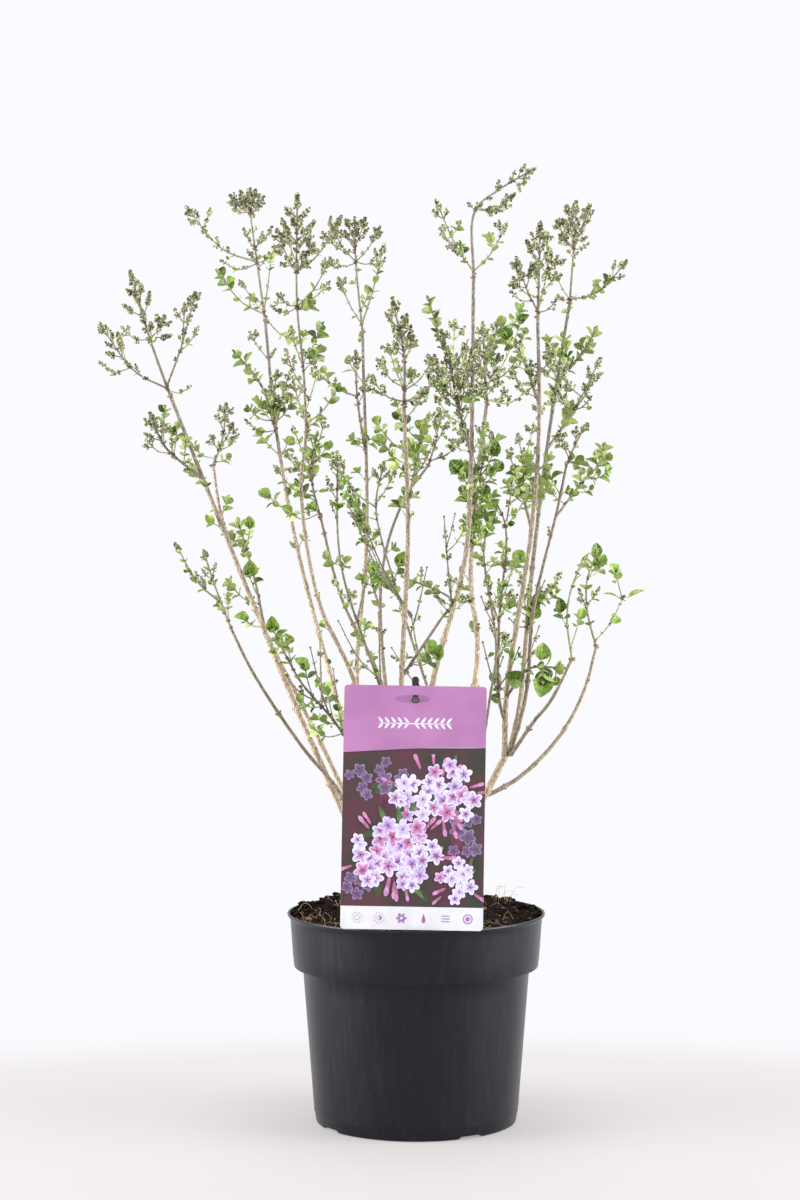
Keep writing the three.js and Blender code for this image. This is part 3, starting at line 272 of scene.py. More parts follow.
        (106, 384, 368, K, 12), (123, 378, 352, B, 10), (120, 405, 398, N, 10), (128, 421, 408, M, 8)]),
    ("mass_far_right_top", "bough_far_right", TIP,
     [(128, 381, 34), (128, 403, 34), (136, 425, 34)], K, 12, [
        (122, 396, 382, H, 8), (156, 392, 357, L, 4), (149, 412, 389, B, 11, 1), (150, 374, 370, B, 12, 1),
        (137, 397, 385, M, 8), (164.5, 395, 391, N, 19, 1), (147.5, 393, 391, N, 15, 1),
        (141, 417, 404, B, 10), (135, 416, 404, K, 8)]),
    ("mass_right_foot_leaves", "bough_right_front", 316, [(85, 337, -46), (112, 337, -46)], L, 15, [
        (96, 348, 0, B, 14), (60, 330, 0, B, 11), (76, 331, 0, B, 16), (92, 368, 326, T, 4),
        (95, 325, 0, B, 18), (105, 327, 0, B, 12), (59, 315, 0, K, 9), (111, 334, 0, B, 13)]),
    ("mass_right_middle_low", "bough_right_back", 362, [(86, 384, 8), (97, 391, 2)], L, 12, [
        (72, 388, 376, B, 11), (108, 396, 388, L, 8), (88, 379, 370, B, 14), (89, 372, 366, B, 11),
        (70, 374, 368, T, 4), (85, 400, 378, P, 10), (107, 408, 392, P, 9), (96, 402, 384, T, 4),
        (92, 389, 376, B, 10), (80, 394, 374, P, 12), (78, 408, 386, P, 14), (100, 398, 386, P, 9)]),
    ("mass_front_low", "stem_front", 330, [(18, 373, -36), (27, 387, -34), (-11, 406, -26)], L, 10, [
        (21, 450, 384, T, 4), (11, 353, 340, B, 14), (17, 349, 340, B, 12), (29, 452, 428, T, 4, 0),
        (37, 443, 424, L, 7, 0), (9, 402, 0, L, 8), (34, 401, 386, P, 12), (13, 396, 384, P, 12),
        (40, 392, 380, P, 10), (26, 405, 388, P, 10), (4, 412, 400, M, 8)]),
]


# ---- the camera ------------------------------------------------------------------------------
def make_camera():
    data = bpy.data.cameras.new("camera")
    data.lens = CAMERA.lens
    data.sensor_width = CAMERA.sensor
    data.shift_y = CAMERA.shift
    data.clip_end = 30
    camera = bpy.data.objects.new("camera", data)
    camera.location = Vector((VIEWPOINT.x, -VIEWPOINT.distance, VIEWPOINT.height)) * MM
    camera.rotation_euler = (math.pi / 2, 0, 0)
    bpy.context.scene.collection.objects.link(camera)
    bpy.context.scene.camera = camera


# ---- numbers, curves and directions ----------------------------------------------------------
def seeded(seed):
    """The same stream of numbers from 0 to 1 as the CAD source draws for this seed."""
    state = seed & 0xFFFFFFFF

    def draw():
        nonlocal state
        state = (state + 0x6D2B79F5) & 0xFFFFFFFF
        t = state
        t = ((t ^ (t >> 15)) * (t | 1)) & 0xFFFFFFFF
        t ^= (t + (((t ^ (t >> 7)) * (t | 61)) & 0xFFFFFFFF)) & 0xFFFFFFFF
        return (t ^ (t >> 14)) / 4294967296

    return draw


def place_of(spot):
    """A place in the crown from its place on the elevation."""
    x, z, depth = spot
    spread = 1 + depth / VIEWPOINT.distance
    return np.array([VIEWPOINT.x + (x - VIEWPOINT.x) * spread, depth,
                     VIEWPOINT.height + (z - VIEWPOINT.height) * spread])


def elevation_of(place):
    """Where a place in the crown appears on the elevation: across and up."""
    x, y, z = np.moveaxis(np.asarray(place), -1, 0)
    spread = 1 + y / VIEWPOINT.distance
    up = VIEWPOINT.height + (z - VIEWPOINT.height) / spread
    return VIEWPOINT.x + (x - VIEWPOINT.x) / spread, up


def unit(vector):
    vector = np.asarray(vector, float)
    return vector / np.linalg.norm(vector, axis=-1, keepdims=True)


class Curve:
    """A centripetal Catmull-Rom curve through points, measured by its length."""

    def __init__(self, points):
        way = [np.array(point, float) for point in points]
        way = [2 * way[0] - way[1], *way, 2 * way[-1] - way[-2]]
        steps = np.linspace(0, 1, 24, endpoint=False)[:, None]
        stretches = []
        for a, b, c, d in zip(way, way[1:], way[2:], way[3:]):
            ab, bc, cd = (math.sqrt(np.linalg.norm(q - p)) for p, q in ((a, b), (b, c), (c, d)))
            leave = ((b - a) / ab - (c - a) / (ab + bc) + (c - b) / bc) * bc
            reach = ((c - b) / bc - (d - b) / (bc + cd) + (d - c) / cd) * bc
            square, cube = 3 * (c - b) - 2 * leave - reach, 2 * (b - c) + leave + reach
            stretches.append(b + leave * steps + square * steps**2 + cube * steps**3)
        self.points = np.vstack([*stretches, way[-2]])
        self.runs = np.concatenate([[0], np.cumsum(np.linalg.norm(np.diff(self.points, axis=0), axis=1))])
        self.length = self.runs[-1]

    def at(self, share):
        run = np.asarray(share) * self.length
        return np.stack([np.interp(run, self.runs, self.points[:, axis]) for axis in range(3)], axis=-1)

    def heading(self, share):
        return unit(self.at(min(share + 0.02, 1)) - self.at(max(share - 0.02, 0)))

    def spaced(self, step):
        return self.at(np.linspace(0, 1, max(2, math.ceil(self.length / step) + 1)))

    def share_at_height(self, height):
        shares = np.linspace(0, 1, 201)
        return shares[np.argmin(np.abs(elevation_of(self.at(shares))[1] - height))]


def leaving(forward, angle, roll):
    """A direction that leaves `forward` by `angle`, turned by `roll` round it."""
    level = np.array([1.0, 0, 0]) - forward * forward[0]
    if np.linalg.norm(level) < 1e-3:
        level = np.array([0, 1.0, 0])
    level = unit(level)
    aside = level * math.cos(roll) + np.cross(forward, level) * math.sin(roll)
    return unit(forward * math.cos(angle) + aside * math.sin(angle))


def turns(count):
    """Angles all the way round, in equal steps."""
    return 2 * math.pi * np.arange(count) / count


def spokes_of(side, other, sides):
    """Directions all the way round each axis, from two that cross it."""
    turn = turns(sides)
    return side[:, None] * np.cos(turn)[None, :, None] + other[:, None] * np.sin(turn)[None, :, None]


# ---- meshes from arrays ----------------------------------------------------------------------
def make_mesh(name, points, faces, looks, materials, sharp=65):
    mesh = bpy.data.meshes.new(name)
    mesh.vertices.add(len(points))
    mesh.vertices.foreach_set("co", (np.asarray(points) * MM).astype(np.float32).ravel())
    mesh.loops.add(3 * len(faces))
    mesh.loops.foreach_set("vertex_index", np.asarray(faces).astype(np.int32).ravel())
    mesh.polygons.add(len(faces))
    mesh.polygons.foreach_set("loop_start", np.arange(0, 3 * len(faces), 3, dtype=np.int32))
    mesh.polygons.foreach_set("material_index", np.broadcast_to(looks, len(faces)).astype(np.int32))
    mesh.update(calc_edges=True)
    mesh.validate()
    for material in materials:
        mesh.materials.append(material)
    mesh.set_sharp_from_angle(angle=math.radians(sharp))
    piece = bpy.data.objects.new(name, mesh)
    bpy.context.scene.collection.objects.link(piece)
    return piece


def keep(piece, slot, nodes):
    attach(piece, "root")
    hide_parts(*nodes)


def joined(meshes):
    """One set of points, faces and looks from several."""
    points, faces, looks = zip(*meshes)
    firsts = np.cumsum([0, *map(len, points)])
    return (np.concatenate(points), np.concatenate([some + first for some, first in zip(faces, firsts)]),
            np.concatenate([np.broadcast_to(look, len(some)) for look, some in zip(looks, faces)]))


class Batch:
    """Triangles of one kind from many nodes, cut into pieces between nodes."""

    def __init__(self, name, slot, materials):
        self.name, self.slot, self.materials = name, slot, materials
        self.chunks = [([], [])]

    def add(self, node, *mesh):
        meshes, nodes = self.chunks[-1]
        if sum(len(faces) for _, faces, _ in meshes) + len(mesh[1]) > PIECE_TRIANGLES:
            meshes, nodes = [], []
            self.chunks.append((meshes, nodes))
        meshes.append(mesh)
        nodes.append(node)

    def make(self):
        for number, (meshes, nodes) in enumerate(self.chunks):
            piece = make_mesh(f"{self.name}_{number + 1}", *joined(meshes), self.materials)
            keep(piece, self.slot, dict.fromkeys(nodes))


def ring_faces(rings, sides):
    """Faces of a closed skin: `rings` rings of `sides` points, then one point at each end."""
    ring, side = np.meshgrid(np.arange(rings - 1), np.arange(sides), indexing="ij")
    a, b = (ring * sides + side).ravel(), (ring * sides + (side + 1) % sides).ravel()
    walls = np.stack([a, b, b + sides, a, b + sides, a + sides], 1).reshape(-1, 3)
    turn, after = np.arange(sides), (np.arange(sides) + 1) % sides
    first, last = rings * sides, rings * sides + 1
    foot = np.stack([np.full(sides, first), after, turn], 1)
    head = np.stack([np.full(sides, last), turn + (rings - 1) * sides, after + (rings - 1) * sides], 1)
    return np.concatenate([walls, foot, head])


def sweep(points, radii, sides):
    """A closed round skin along points, with a radius for each point, or for each point and side."""
    points = np.asarray(points, float)
    tangents = unit(np.gradient(points, axis=0))
    normal = np.array([1.0, 0, 0]) if abs(tangents[0][0]) < 0.8 else np.array([0, 1.0, 0])
    normals = np.empty_like(points)
    for i, tangent in enumerate(tangents):
        normal = unit(normal - tangent * (normal @ tangent))
        normals[i] = normal
    spokes = spokes_of(normals, np.cross(tangents, normals), sides)
    radii = np.asarray(radii, float)
    radii = np.broadcast_to(radii[:, None] if radii.ndim == 1 else radii, (len(points), sides))
    skin = points[:, None] + spokes * radii[..., None]
    return np.vstack([skin.reshape(-1, 3), points[:1], points[-1:]]), ring_faces(len(points), sides)


def copies(template_faces, count, points_each):
    """The faces of `count` copies of a mesh, one after another."""
    return (template_faces[None] + (np.arange(count) * points_each)[:, None, None]).reshape(-1, 3)


def across_of(axes):
    """Two directions that cross each axis squarely."""
    helper = np.where(np.abs(axes[:, 2:3]) < 0.9, np.array([[0, 0, 1.0]]), np.array([[1.0, 0, 0]]))
    side = unit(np.cross(axes, helper))
    return side, np.cross(axes, side)


def spindles(rows, profile, sides, tones):
    """Small round bodies, one a row of (root, axis, length, radius, look). `tones` says for each
    band of the profile whether it takes the row's look, or a fixed one."""
    roots, axes, lengths, radii, looks = (np.array(column, float) for column in zip(*rows))
    axes = unit(axes)
    spokes = spokes_of(*across_of(axes), sides)
    on_axis = [(roots + axes * (lengths * along)[:, None])[:, None] for along, _ in profile]
    rings = [middle + spokes * (radii * girth)[:, None, None]
             for middle, (_, girth) in zip(on_axis[1:-1], profile[1:-1])]
    points = np.concatenate([*rings, on_axis[0], on_axis[-1]], axis=1)
    faces = ring_faces(len(rings), sides)
    bands = np.concatenate([np.repeat(np.arange(1, len(rings)), 2 * sides), np.zeros(sides, int),
                            np.full(sides, len(rings))])
    look = np.array([[row if tone is None else tone for tone in tones] for row in looks])[:, bands]
    return points.reshape(-1, 3), copies(faces, len(roots), points.shape[1]), look.ravel().astype(int)


def rods(rows, sides=4):
    """Straight tapering twiglets, one a row of (start, end, start radius, end radius, look)."""
    starts, ends, low, high, looks = (np.array(column, float) for column in zip(*rows))
    spokes = spokes_of(*across_of(unit(ends - starts)), sides)
    starts, ends = starts[:, None], ends[:, None]
    rings = [starts + spokes * low[:, None, None], ends + spokes * high[:, None, None]]
    points = np.concatenate([*rings, starts, ends], axis=1)
    faces = ring_faces(2, sides)
    return (points.reshape(-1, 3), copies(faces, len(starts), points.shape[1]),
            np.repeat(looks, len(faces)).astype(int))


# A blade's stations along it, its lanes across it, and the stations where a side vein starts.
LARGE_BLADE = ((0.0, 0.07, 0.13, 0.2, 0.24, 0.35, 0.39, 0.51, 0.55, 0.67, 0.71, 0.83, 0.93, 0.98, 1.0),
               (-1, -0.55, -0.08, 0.08, 0.55, 1), (2, 4, 6, 8))
SMALL_BLADE = ((0.0, 0.12, 0.24, 0.45, 0.68, 0.87, 0.96, 1.0), (-1, -0.5, 0, 0.5, 1), ())
BRACT_BLADE = ((0.0, 0.25, 0.6, 0.85, 1.0), (-1, 0, 1), ())
VEIN_SWEEP = 0.13  # how far side veins run back, as a share of the blade's length
PLEAT = 0.011  # how far the blade rises and falls between its veins, as a share of its length
LARGE_FROM = 10.5  # leaves longer than this have side veins
LEAF_THICK = 0.16


def leaf_width(u):
    """Half the width of an ovate blade along its length, as a share of the widest; a stalk first."""
    blade = np.clip((u - 0.1) / 0.9, 0, 1)
    return np.maximum(blade**0.62 * (1 - blade) ** 0.78 / 0.383, np.where(u < 1, 0.05, 0))


def blade_faces(stations, lanes, veins, under, rib, vein):
    """The faces of one closed blade and their looks, -1 for the blade's own. Its points are the upper
    sheet's, the under sheet's, the foot and the tip. The sheets share the points of their edges."""
    grid = stations * lanes
    foot, tip = 2 * grid, 2 * grid + 1
    station, lane = np.divmod(np.arange((stations - 1) * (lanes - 1)), lanes - 1)
    quads = (station * lanes + lane)[:, None] + [0, lanes, lanes + 1, 1]
    fan, no_station = np.arange(lanes - 1), np.full(lanes - 1, -1)
    base = np.stack([np.full(lanes - 1, foot), fan, fan + 1], 1)
    last = (stations - 1) * lanes + fan
    point = np.stack([np.full(lanes - 1, tip), last + 1, last], 1)
    upper = np.concatenate([quads[:, [0, 1, 2]], quads[:, [0, 2, 3]], base, point])
    below = np.arange(tip + 1)
    inner = (below < grid) & (below % lanes > 0) & (below % lanes < lanes - 1)
    below[inner] += grid
    ribbed = (np.abs(np.concatenate([lane, lane, fan, fan]) - (lanes - 2) / 2) < 0.25) & (lanes > 3)
    veined = np.isin(np.concatenate([station, station, no_station, no_station]), veins)
    own = np.where(ribbed, rib, np.where(veined, vein, -1))
    return np.concatenate([upper[:, ::-1], below[upper]]), np.concatenate([own, np.full(len(upper), under)])


def blades(rows, cut, under, rib, vein):
    """Thin closed blades, one a row of (root, forward, across, length, width, curl, fold, look)."""
    roots, forward, across, length, width, curl, fold, looks = (
        np.array(column, float) for column in zip(*rows))
    face = np.cross(forward, across)
    u, v = np.array(cut[0][1:-1]), np.array(cut[1], float)
    curl = np.where(np.abs(curl) < 0.05, 0.05, curl)[:, None]
    half = (width / 2)[:, None] * leaf_width(u)[None]

    def spine(share):
        ahead, rise = np.sin(curl * share) / curl, -(1 - np.cos(curl * share)) / curl
        return ahead * length[:, None], rise * length[:, None]

    swept = u[:, None] - VEIN_SWEEP * (1 - np.abs(v)) * np.sin(math.pi * u[:, None])
    ahead, rise = (part.reshape(-1, len(u), len(v)) for part in spine(swept.reshape(1, -1)))
    lift = fold[:, None, None] * half[..., None] * np.abs(v) ** 1.3
    ridges = np.where(np.arange(len(u)) % 2, PLEAT, -PLEAT)
    pleat = length[:, None, None] * ridges[:, None] * np.sin(math.pi * np.abs(v))
    height = rise + lift + pleat
    thin = LEAF_THICK * (1 - np.abs(v)) * np.ones_like(height)

    def sheet(drop):
        return (roots[:, None, None] + forward[:, None, None] * ahead[..., None]
                + across[:, None, None] * (half[..., None] * v)[..., None]
                + face[:, None, None] * (height - drop)[..., None])

    tip_ahead, tip_rise = spine(np.array([[1.0]]))
    tip = roots + forward * tip_ahead + face * tip_rise
    count = len(roots)
    points = np.concatenate([sheet(0).reshape(count, -1, 3), sheet(thin).reshape(count, -1, 3),
                             roots[:, None], tip[:, None]], axis=1)
    faces, kinds = blade_faces(len(u), len(v), cut[2], under, rib, vein)
    look = np.where(kinds[None] < 0, looks[:, None], kinds[None])
    used, faces = np.unique(faces, return_inverse=True)
    faces = faces.reshape(-1, 3)
    return points[:, used].reshape(-1, 3), copies(faces, count, len(used)), look.ravel().astype(int)


# ---- materials -------------------------------------------------------------------------------
def linear(colour):
    """A screen colour of 0 to 255 as Blender's linear one."""
    shares = [part / 255 for part in colour]
    return (*(s / 12.92 if s < 0.04045 else ((s + 0.055) / 1.055) ** 2.4 for s in shares), 1)


MIX_SOCKETS = (0, 6, 7)  # a colour Mix node's factor and its two colours


class Finish:
    """A material whose colour and relief come from procedural noise in the object's own space."""

    def __init__(self, name, roughness, specular=0.5):
        self.material = bpy.data.materials.new(name)
        self.material.use_nodes = True
        self.nodes = self.material.node_tree.nodes
        self.shader = self.nodes["Principled BSDF"]
        self.set(self.shader, Roughness=roughness)
        self.shader.inputs["Specular IOR Level"].default_value = specular
        self.place = self.node("ShaderNodeTexCoord").outputs["Object"]

    def node(self, kind, **inputs):
        node = self.nodes.new(kind)
        self.set(node, **inputs)
        return node

    def set(self, node, **inputs):
        for name, value in inputs.items():
            self.fill(node.inputs[name.replace("_", " ")], value)

    def fill(self, socket, value):
        if isinstance(value, bpy.types.NodeSocket):
            self.link(value, socket)
        else:
            socket.default_value = value

    def link(self, source, target):
        self.material.node_tree.links.new(source, target)

    def noise(self, grain, detail=3, stretch=(1, 1, 1), rough=0.55):
        """Noise whose features measure about `grain` millimetres."""
        made = self.node("ShaderNodeTexNoise", Vector=self.scaled(grain, stretch), Scale=1.0, Detail=detail,
                         Roughness=rough)
        return made.outputs["Fac"]

    def cells(self, grain):
        made = self.node("ShaderNodeTexVoronoi", Vector=self.scaled(grain), Scale=1.0)
        return made.outputs["Distance"]

    def scaled(self, grain, stretch=(1, 1, 1)):
        scale = [share / (grain * MM) for share in stretch]
        return self.node("ShaderNodeMapping", Vector=self.place, Scale=scale).outputs["Vector"]

    def ramp(self, factor, *stops):
        """A ramp of (position, screen colour)."""
        node = self.node("ShaderNodeValToRGB", Fac=factor)
        elements = node.color_ramp.elements
        while len(elements) < len(stops):
            elements.new(0.5)
        for element, (position, colour) in zip(elements, stops):
            element.position = position
            element.color = linear(colour)
        return node.outputs["Color"]

    def spread(self, factor, low, high, start=0.3, end=0.7, smooth=False):
        """What a factor comes to when its stretch from `start` to `end` runs from `low` to `high`."""
        node = self.node("ShaderNodeMapRange", Value=factor, From_Min=start, From_Max=end, To_Min=low,
                         To_Max=high)
        node.interpolation_type = "SMOOTHSTEP" if smooth else "LINEAR"
        return node.outputs["Result"]

    def mix(self, factor, first, second):
        node = self.nodes.new("ShaderNodeMix")
        node.data_type = "RGBA"
        for number, value in zip(MIX_SOCKETS, (factor, first, second)):
            self.fill(node.inputs[number], value)
        return node.outputs[2]

    def colour(self, source):
        self.link(source, self.shader.inputs["Base Color"])
        return self

    def bump(self, height, strength, depth):
        node = self.node("ShaderNodeBump", Height=height, Strength=strength, Distance=depth * MM)
        self.link(node.outputs["Normal"], self.shader.inputs["Normal"])
        return self


def mottled(name, dark, light, grain, roughness, relief=0.2, depth=0.2, specular=0.5, stretch=(1, 1, 1)):
    finish = Finish(name, roughness, specular)
    noise_out = finish.noise(grain, stretch=stretch)
    finish.colour(finish.ramp(noise_out, (0.3, dark), (0.7, light)))
    finish.bump(noise_out, relief, depth)
    return finish.material


AGING = (0.42, 0.64)  # the heights in metres between which bark turns grey
AGING_WAVER = 0.16  # how far noise moves them, in metres


def bark_material(name, shade):
    """Tan bark with fine lengthwise streaks and pale lenticels, greyer and darker up the stems."""
    def shaded(*colour):
        return tuple(part * shade for part in colour)

    def streaked(*colours):
        return finish.ramp(streaks, *((at, shaded(*colour)) for at, colour in zip((0.3, 0.5, 0.72), colours)))

    finish = Finish(name, 0.82, 0.22)
    streaks = finish.noise(0.9, detail=4, stretch=(1, 1, 0.3))
    patches = finish.noise(5, detail=3, stretch=(1, 1, 0.16))
    low = streaked((103, 86, 69), (156, 140, 118), (207, 193, 174))
    high = streaked((71, 64, 58), (105, 98, 90), (154, 146, 137))
    height = finish.node("ShaderNodeSeparateXYZ", Vector=finish.place).outputs["Z"]
    tall = finish.node("ShaderNodeMath", Value=finish.noise(60, detail=2))
    tall.operation = "MULTIPLY_ADD"
    tall.inputs[1].default_value = AGING_WAVER
    finish.link(height, tall.inputs[2])
    aged = finish.mix(finish.spread(tall.outputs[0], 0, 1, *AGING), low, high)
    worn = finish.mix(finish.spread(patches, 0, 0.5, 0.5, 0.68), aged, linear(shaded(112, 92, 76)))
    spots = finish.spread(finish.cells(2.6), 0.6, 0, 0.1, 0.24)
    finish.colour(finish.mix(spots, worn, linear(shaded(196, 181, 162))))
    finish.bump(streaks, 0.5, 0.25)
    return finish.material


def crown_material():
    """Dark, cracked and dusty bark at soil level."""
    finish = Finish("crown_bark", 0.9, 0.2)
    cracks = finish.noise(3.5, detail=5, stretch=(1, 1, 0.5), rough=0.7)
    dirt = finish.spread(finish.noise(11, detail=3), 0, 0.75, 0.45, 0.62)
    wood = finish.ramp(cracks, (0.36, (44, 33, 25)), (0.52, (96, 77, 60)), (0.7, (138, 116, 92)))
    finish.colour(finish.mix(dirt, wood, linear((46, 34, 26))))
    finish.bump(cracks, 0.8, 1.2)
    return finish.material


def leaf_material(name, dark, light, roughness=0.5):
    finish = Finish(name, roughness, 0.25)
    tone = finish.noise(2.2, detail=3)
    finish.colour(finish.ramp(tone, (0.34, dark), (0.66, light)))
    finish.bump(finish.noise(0.7, detail=2), 0.25, 0.12)
    return finish.material


def pot_material():
    """Near-black satin plastic with a faint haze, upright drag marks that also carry a painted streaky sheen,
    scuffs and dust.
    """
    finish = Finish("pot_plastic", 0.34, 0.34)
    haze = finish.noise(26, detail=4)
    drag_marks_and_sheen = finish.noise(3.2, detail=3, stretch=(1, 1, 0.04))
    scuffs = finish.noise(9, detail=5, stretch=(0.4, 0.4, 2.2), rough=0.7)
    dust = finish.spread(finish.cells(9), 0.4, 0, 0.015, 0.04)
    plain = finish.ramp(haze, (0.35, (4, 4, 8)), (0.7, (9, 9, 14)))
    # Lighter upright streaks: partly drag marks, partly a painted sheen standing in for upright reflections.
    streaked = finish.mix(finish.spread(drag_marks_and_sheen, 0, 0.36, 0.5, 0.8), plain, linear((26, 26, 32)))
    worn = finish.mix(finish.spread(scuffs, 0, 0.22, 0.6, 0.74), streaked, linear((40, 40, 46)))
    finish.colour(finish.mix(dust, worn, linear((140, 138, 136))))
    finish.link(finish.spread(drag_marks_and_sheen, 0.3, 0.38), finish.shader.inputs["Roughness"])
    finish.set(finish.shader, Specular_Tint=linear((236, 240, 255)))
    finish.bump(drag_marks_and_sheen, 0.08, 0.1)
    return finish.material


def soil_material():
    finish = Finish("peat", 0.95, 0.06)
    crumbs = finish.noise(2.4, detail=5, rough=0.7)
    tint = finish.noise(7, detail=2)
    base = finish.ramp(crumbs, (0.3, (6, 4, 3)), (0.5, (17, 11, 8)), (0.74, (40, 28, 20)))
    finish.colour(finish.mix(finish.spread(tint, 0, 0.45, 0.55, 0.75), base, linear((32, 18, 12))))
    finish.bump(crumbs, 0.9, 0.9)
    return finish.material


def print_material(name, first, second, grain):
    finish = Finish(name, 0.34)
    finish.colour(finish.ramp(finish.noise(grain, detail=2), (0.35, first), (0.65, second)))
    finish.bump(finish.noise(0.5, detail=1), 0.03, 0.03)
    return finish.material


# ---- stems, boughs and the root crown --------------------------------------------------------
LIMB_CURVES = {}  # by name: the curve and the radii of its ends
LIMB_NODES = {}  # by name: how far along it each node is, and its turn
BARK, SCALE_DARK, SCALE_PALE, BARK_YOUNG = range(4)
YOUNG_BELOW = 2  # limbs thinner than this at the foot have young bark
# The ridges of a limb: their depth as a share of its radius, how many go round it, and how they
# turn along it, in radians a millimetre.
LIMB_RIDGES = ((0.045, 3, 0.021), (0.035, 5, -0.034), (0.03, 1, 0.37), (0.02, -2, 1.1))
TIP_SCALES = 9  # round the tip of a limb
LIMB_SEED, MASS_SEED, MASS_SEED_STEP = 900, 101, 37
SCALE_PROFILE = ((0, 0), (0.1, 0.75), (0.4, 1), (0.75, 0.62), (1, 0))


def limb_relief(points, radii, length, draw):
    """Radii for each point and side: ridges along the limb, and swellings at its nodes."""
    sides = LIMB.sides
    run = np.linspace(0, length, len(points))[:, None]
    turn = turns(sides)[None]
    phases = [draw() * 2 * math.pi for _ in LIMB_RIDGES]
    relief = sum(depth * np.sin(around * turn + along * run + phase)
                 for phase, (depth, around, along) in zip(phases, LIMB_RIDGES))
    nodes, at, roll = [], LIMB.node * (0.4 + 0.4 * draw()), draw() * math.pi
    while at < length - 6:
        nodes.append((at, roll))
        bulge = np.exp(-((run - at) / 2.1) ** 2)
        relief = relief + bulge * (LIMB.swell + 0.3 * np.cos(turn - roll) ** 4)
        at += LIMB.node * (0.75 + 0.5 * draw())
        roll += math.pi / 2
    return radii[:, None] * (1 + relief), nodes


def make_limb(name, on, girth, way, index):
    """A tapering limb with its nodes and axillary buds; returns its mesh."""
    draw = seeded(LIMB_SEED + index)
    curve = Curve([place_of(spot) for spot in way])
    LIMB_CURVES[name] = (curve, girth)
    points = curve.spaced(LIMB.step)
    share = np.linspace(0, 1, len(points))
    radii = (girth[0] + (girth[1] - girth[0]) * share) * (1 - LIMB.slim * share)
    if on == "root_crown":
        radii = radii * (1 + (LIMB.flare - 1) * np.exp(-share * curve.length / 14))
    skin, nodes = limb_relief(points, radii, curve.length, draw)
    LIMB_NODES[name] = nodes
    bark = BARK_YOUNG if girth[0] < YOUNG_BELOW else BARK
    buds = spindles(limb_buds(curve, girth, nodes, draw), SCALE_PROFILE, 6, (None,) * 4)
    return joined([(*sweep(points, skin, LIMB.sides), bark), buds])


def limb_buds(curve, girth, nodes, draw):
    """The axillary buds at a limb's nodes, and the bud scales round its tip."""
    buds = []
    for at, roll in nodes:
        spot, along = curve.at(at / curve.length), curve.heading(at / curve.length)
        radius = girth[0] + (girth[1] - girth[0]) * at / curve.length
        for turned in (roll, roll + math.pi):
            out = leaving(along, 0.6 + 0.3 * draw(), turned)
            seat = spot + leaving(along, math.pi / 2, turned) * radius * 1.05
            size = 1.3 + 1.2 * draw()
            buds.append((seat, out, size, size * 0.34, SCALE_DARK if draw() < 0.3 else SCALE_PALE))
    tip, along = curve.at(1), curve.heading(1)
    for number in range(TIP_SCALES):
        out = leaving(along, 0.6 + 0.7 * draw(), number * 2.4)
        size = 1.6 + 1.5 * draw()
        seat = tip - along * (0.5 + 3 * draw()) + out * girth[1] * 0.55
        buds.append((seat, out, size, size * 0.3, SCALE_DARK if draw() < 0.5 else SCALE_PALE))
    return buds


def make_root_crown():
    """A low woody mound with buttresses that run into the stems."""
    rings, sides = 26, 72
    share = np.linspace(0, 1, rings)[:, None]
    turn = turns(sides)[None]
    lobes = 1 + 0.1 * np.sin(5 * turn + 0.6) + 0.07 * np.sin(8 * turn + 2) + 0.04 * np.sin(13 * turn)
    radius = CROWN.radius * (1 - share**1.7) ** 0.62 * (lobes * (1 - share) + share) * 0.93
    height = CROWN.ground + CROWN.height * share * (0.92 + 0.08 * np.sin(7 * turn + 1))
    x = CROWN.x + radius * np.cos(turn)
    y = CROWN.y + radius * np.sin(turn)
    skin = np.stack([x, y, height + 0 * x], -1).reshape(-1, 3)
    ends = [[CROWN.x, CROWN.y, CROWN.ground], [CROWN.x, CROWN.y, CROWN.ground + CROWN.height]]
    return np.vstack([skin, ends]), ring_faces(rings, sides)


def make_wood():
    materials = [bark_material("bark", 1),
                 mottled("bud_scale_dark", (79, 51, 37), (117, 81, 60), 1.2, 0.6),
                 mottled("bud_scale_pale", (118, 94, 67), (152, 127, 95), 1.2, 0.65),
                 bark_material("bark_young", 0.8)]
    crown = make_mesh("root_crown_bark", *make_root_crown(), 0, [crown_material()])
    keep(crown, "bark", ["root_crown"])
    stems, boughs = [], []
    for index, (name, on, girth, way) in enumerate(LIMBS):
        (stems if on == "root_crown" else boughs).append((name, make_limb(name, on, girth, way, index)))
    for piece_name, limbs in (("stems_bark", stems), ("boughs_bark", boughs)):
        piece = make_mesh(piece_name, *joined([mesh for _, mesh in limbs]), materials)
        keep(piece, "bark", [name for name, _ in limbs])


def limb_finder():
    """Finds the nearest limb surface to a point."""
    samples = []
    for curve, (low, high) in LIMB_CURVES.values():
        points = curve.spaced(1.5)
        samples += zip(points, np.linspace(low, high, len(points)))
    tree = kdtree.KDTree(len(samples))
    for i, (point, _) in enumerate(samples):
        tree.insert(Vector(point), i)
    tree.balance()

    def gap(point):
        _, i, distance = tree.find(Vector(point))
        return distance - samples[i][1]

    return gap


# ---- masses: twigs, heads of buds, leaves ----------------------------------------------------
TWIG_BROWN, TWIG_OLIVE, TWIG_GREEN, TWIG_SCALE = range(4)
TWIG_WOODY = 34  # shoots longer than this have bark
NEW_GROWTH_BELOW = 440  # limbs that end lower than this end in this year's green wood
LEAFY_RUN = 62  # how far from its tip a shoot carries pairs
BROAD_ALONE = 14  # a shoot shorter than this carries one broad leaf and nothing else
SPRIG_ENDS = (L, L, M, H)
# What grows on each side of a twig's node, as the draw that it stays below; the rest are buds.
PAIR_CHANCES = Sizes(leaf=0.5, knob=0.42, tuft=0.6, bract=0.8)
# The radii of a twiglet's ends by what it carries, and the room that this keeps to the limbs. A
# leaf's room is a share of its length.
TWIGLETS = Sizes(knob=(0.38, 0.24), bud=(0.2, 0.16), branchlet=(0.5, 0.38), spur=(0.46, 0.34))
CLEAR = Sizes(knob=0.8, branchlet=0.4, bract=0.6, leaf=0.2)

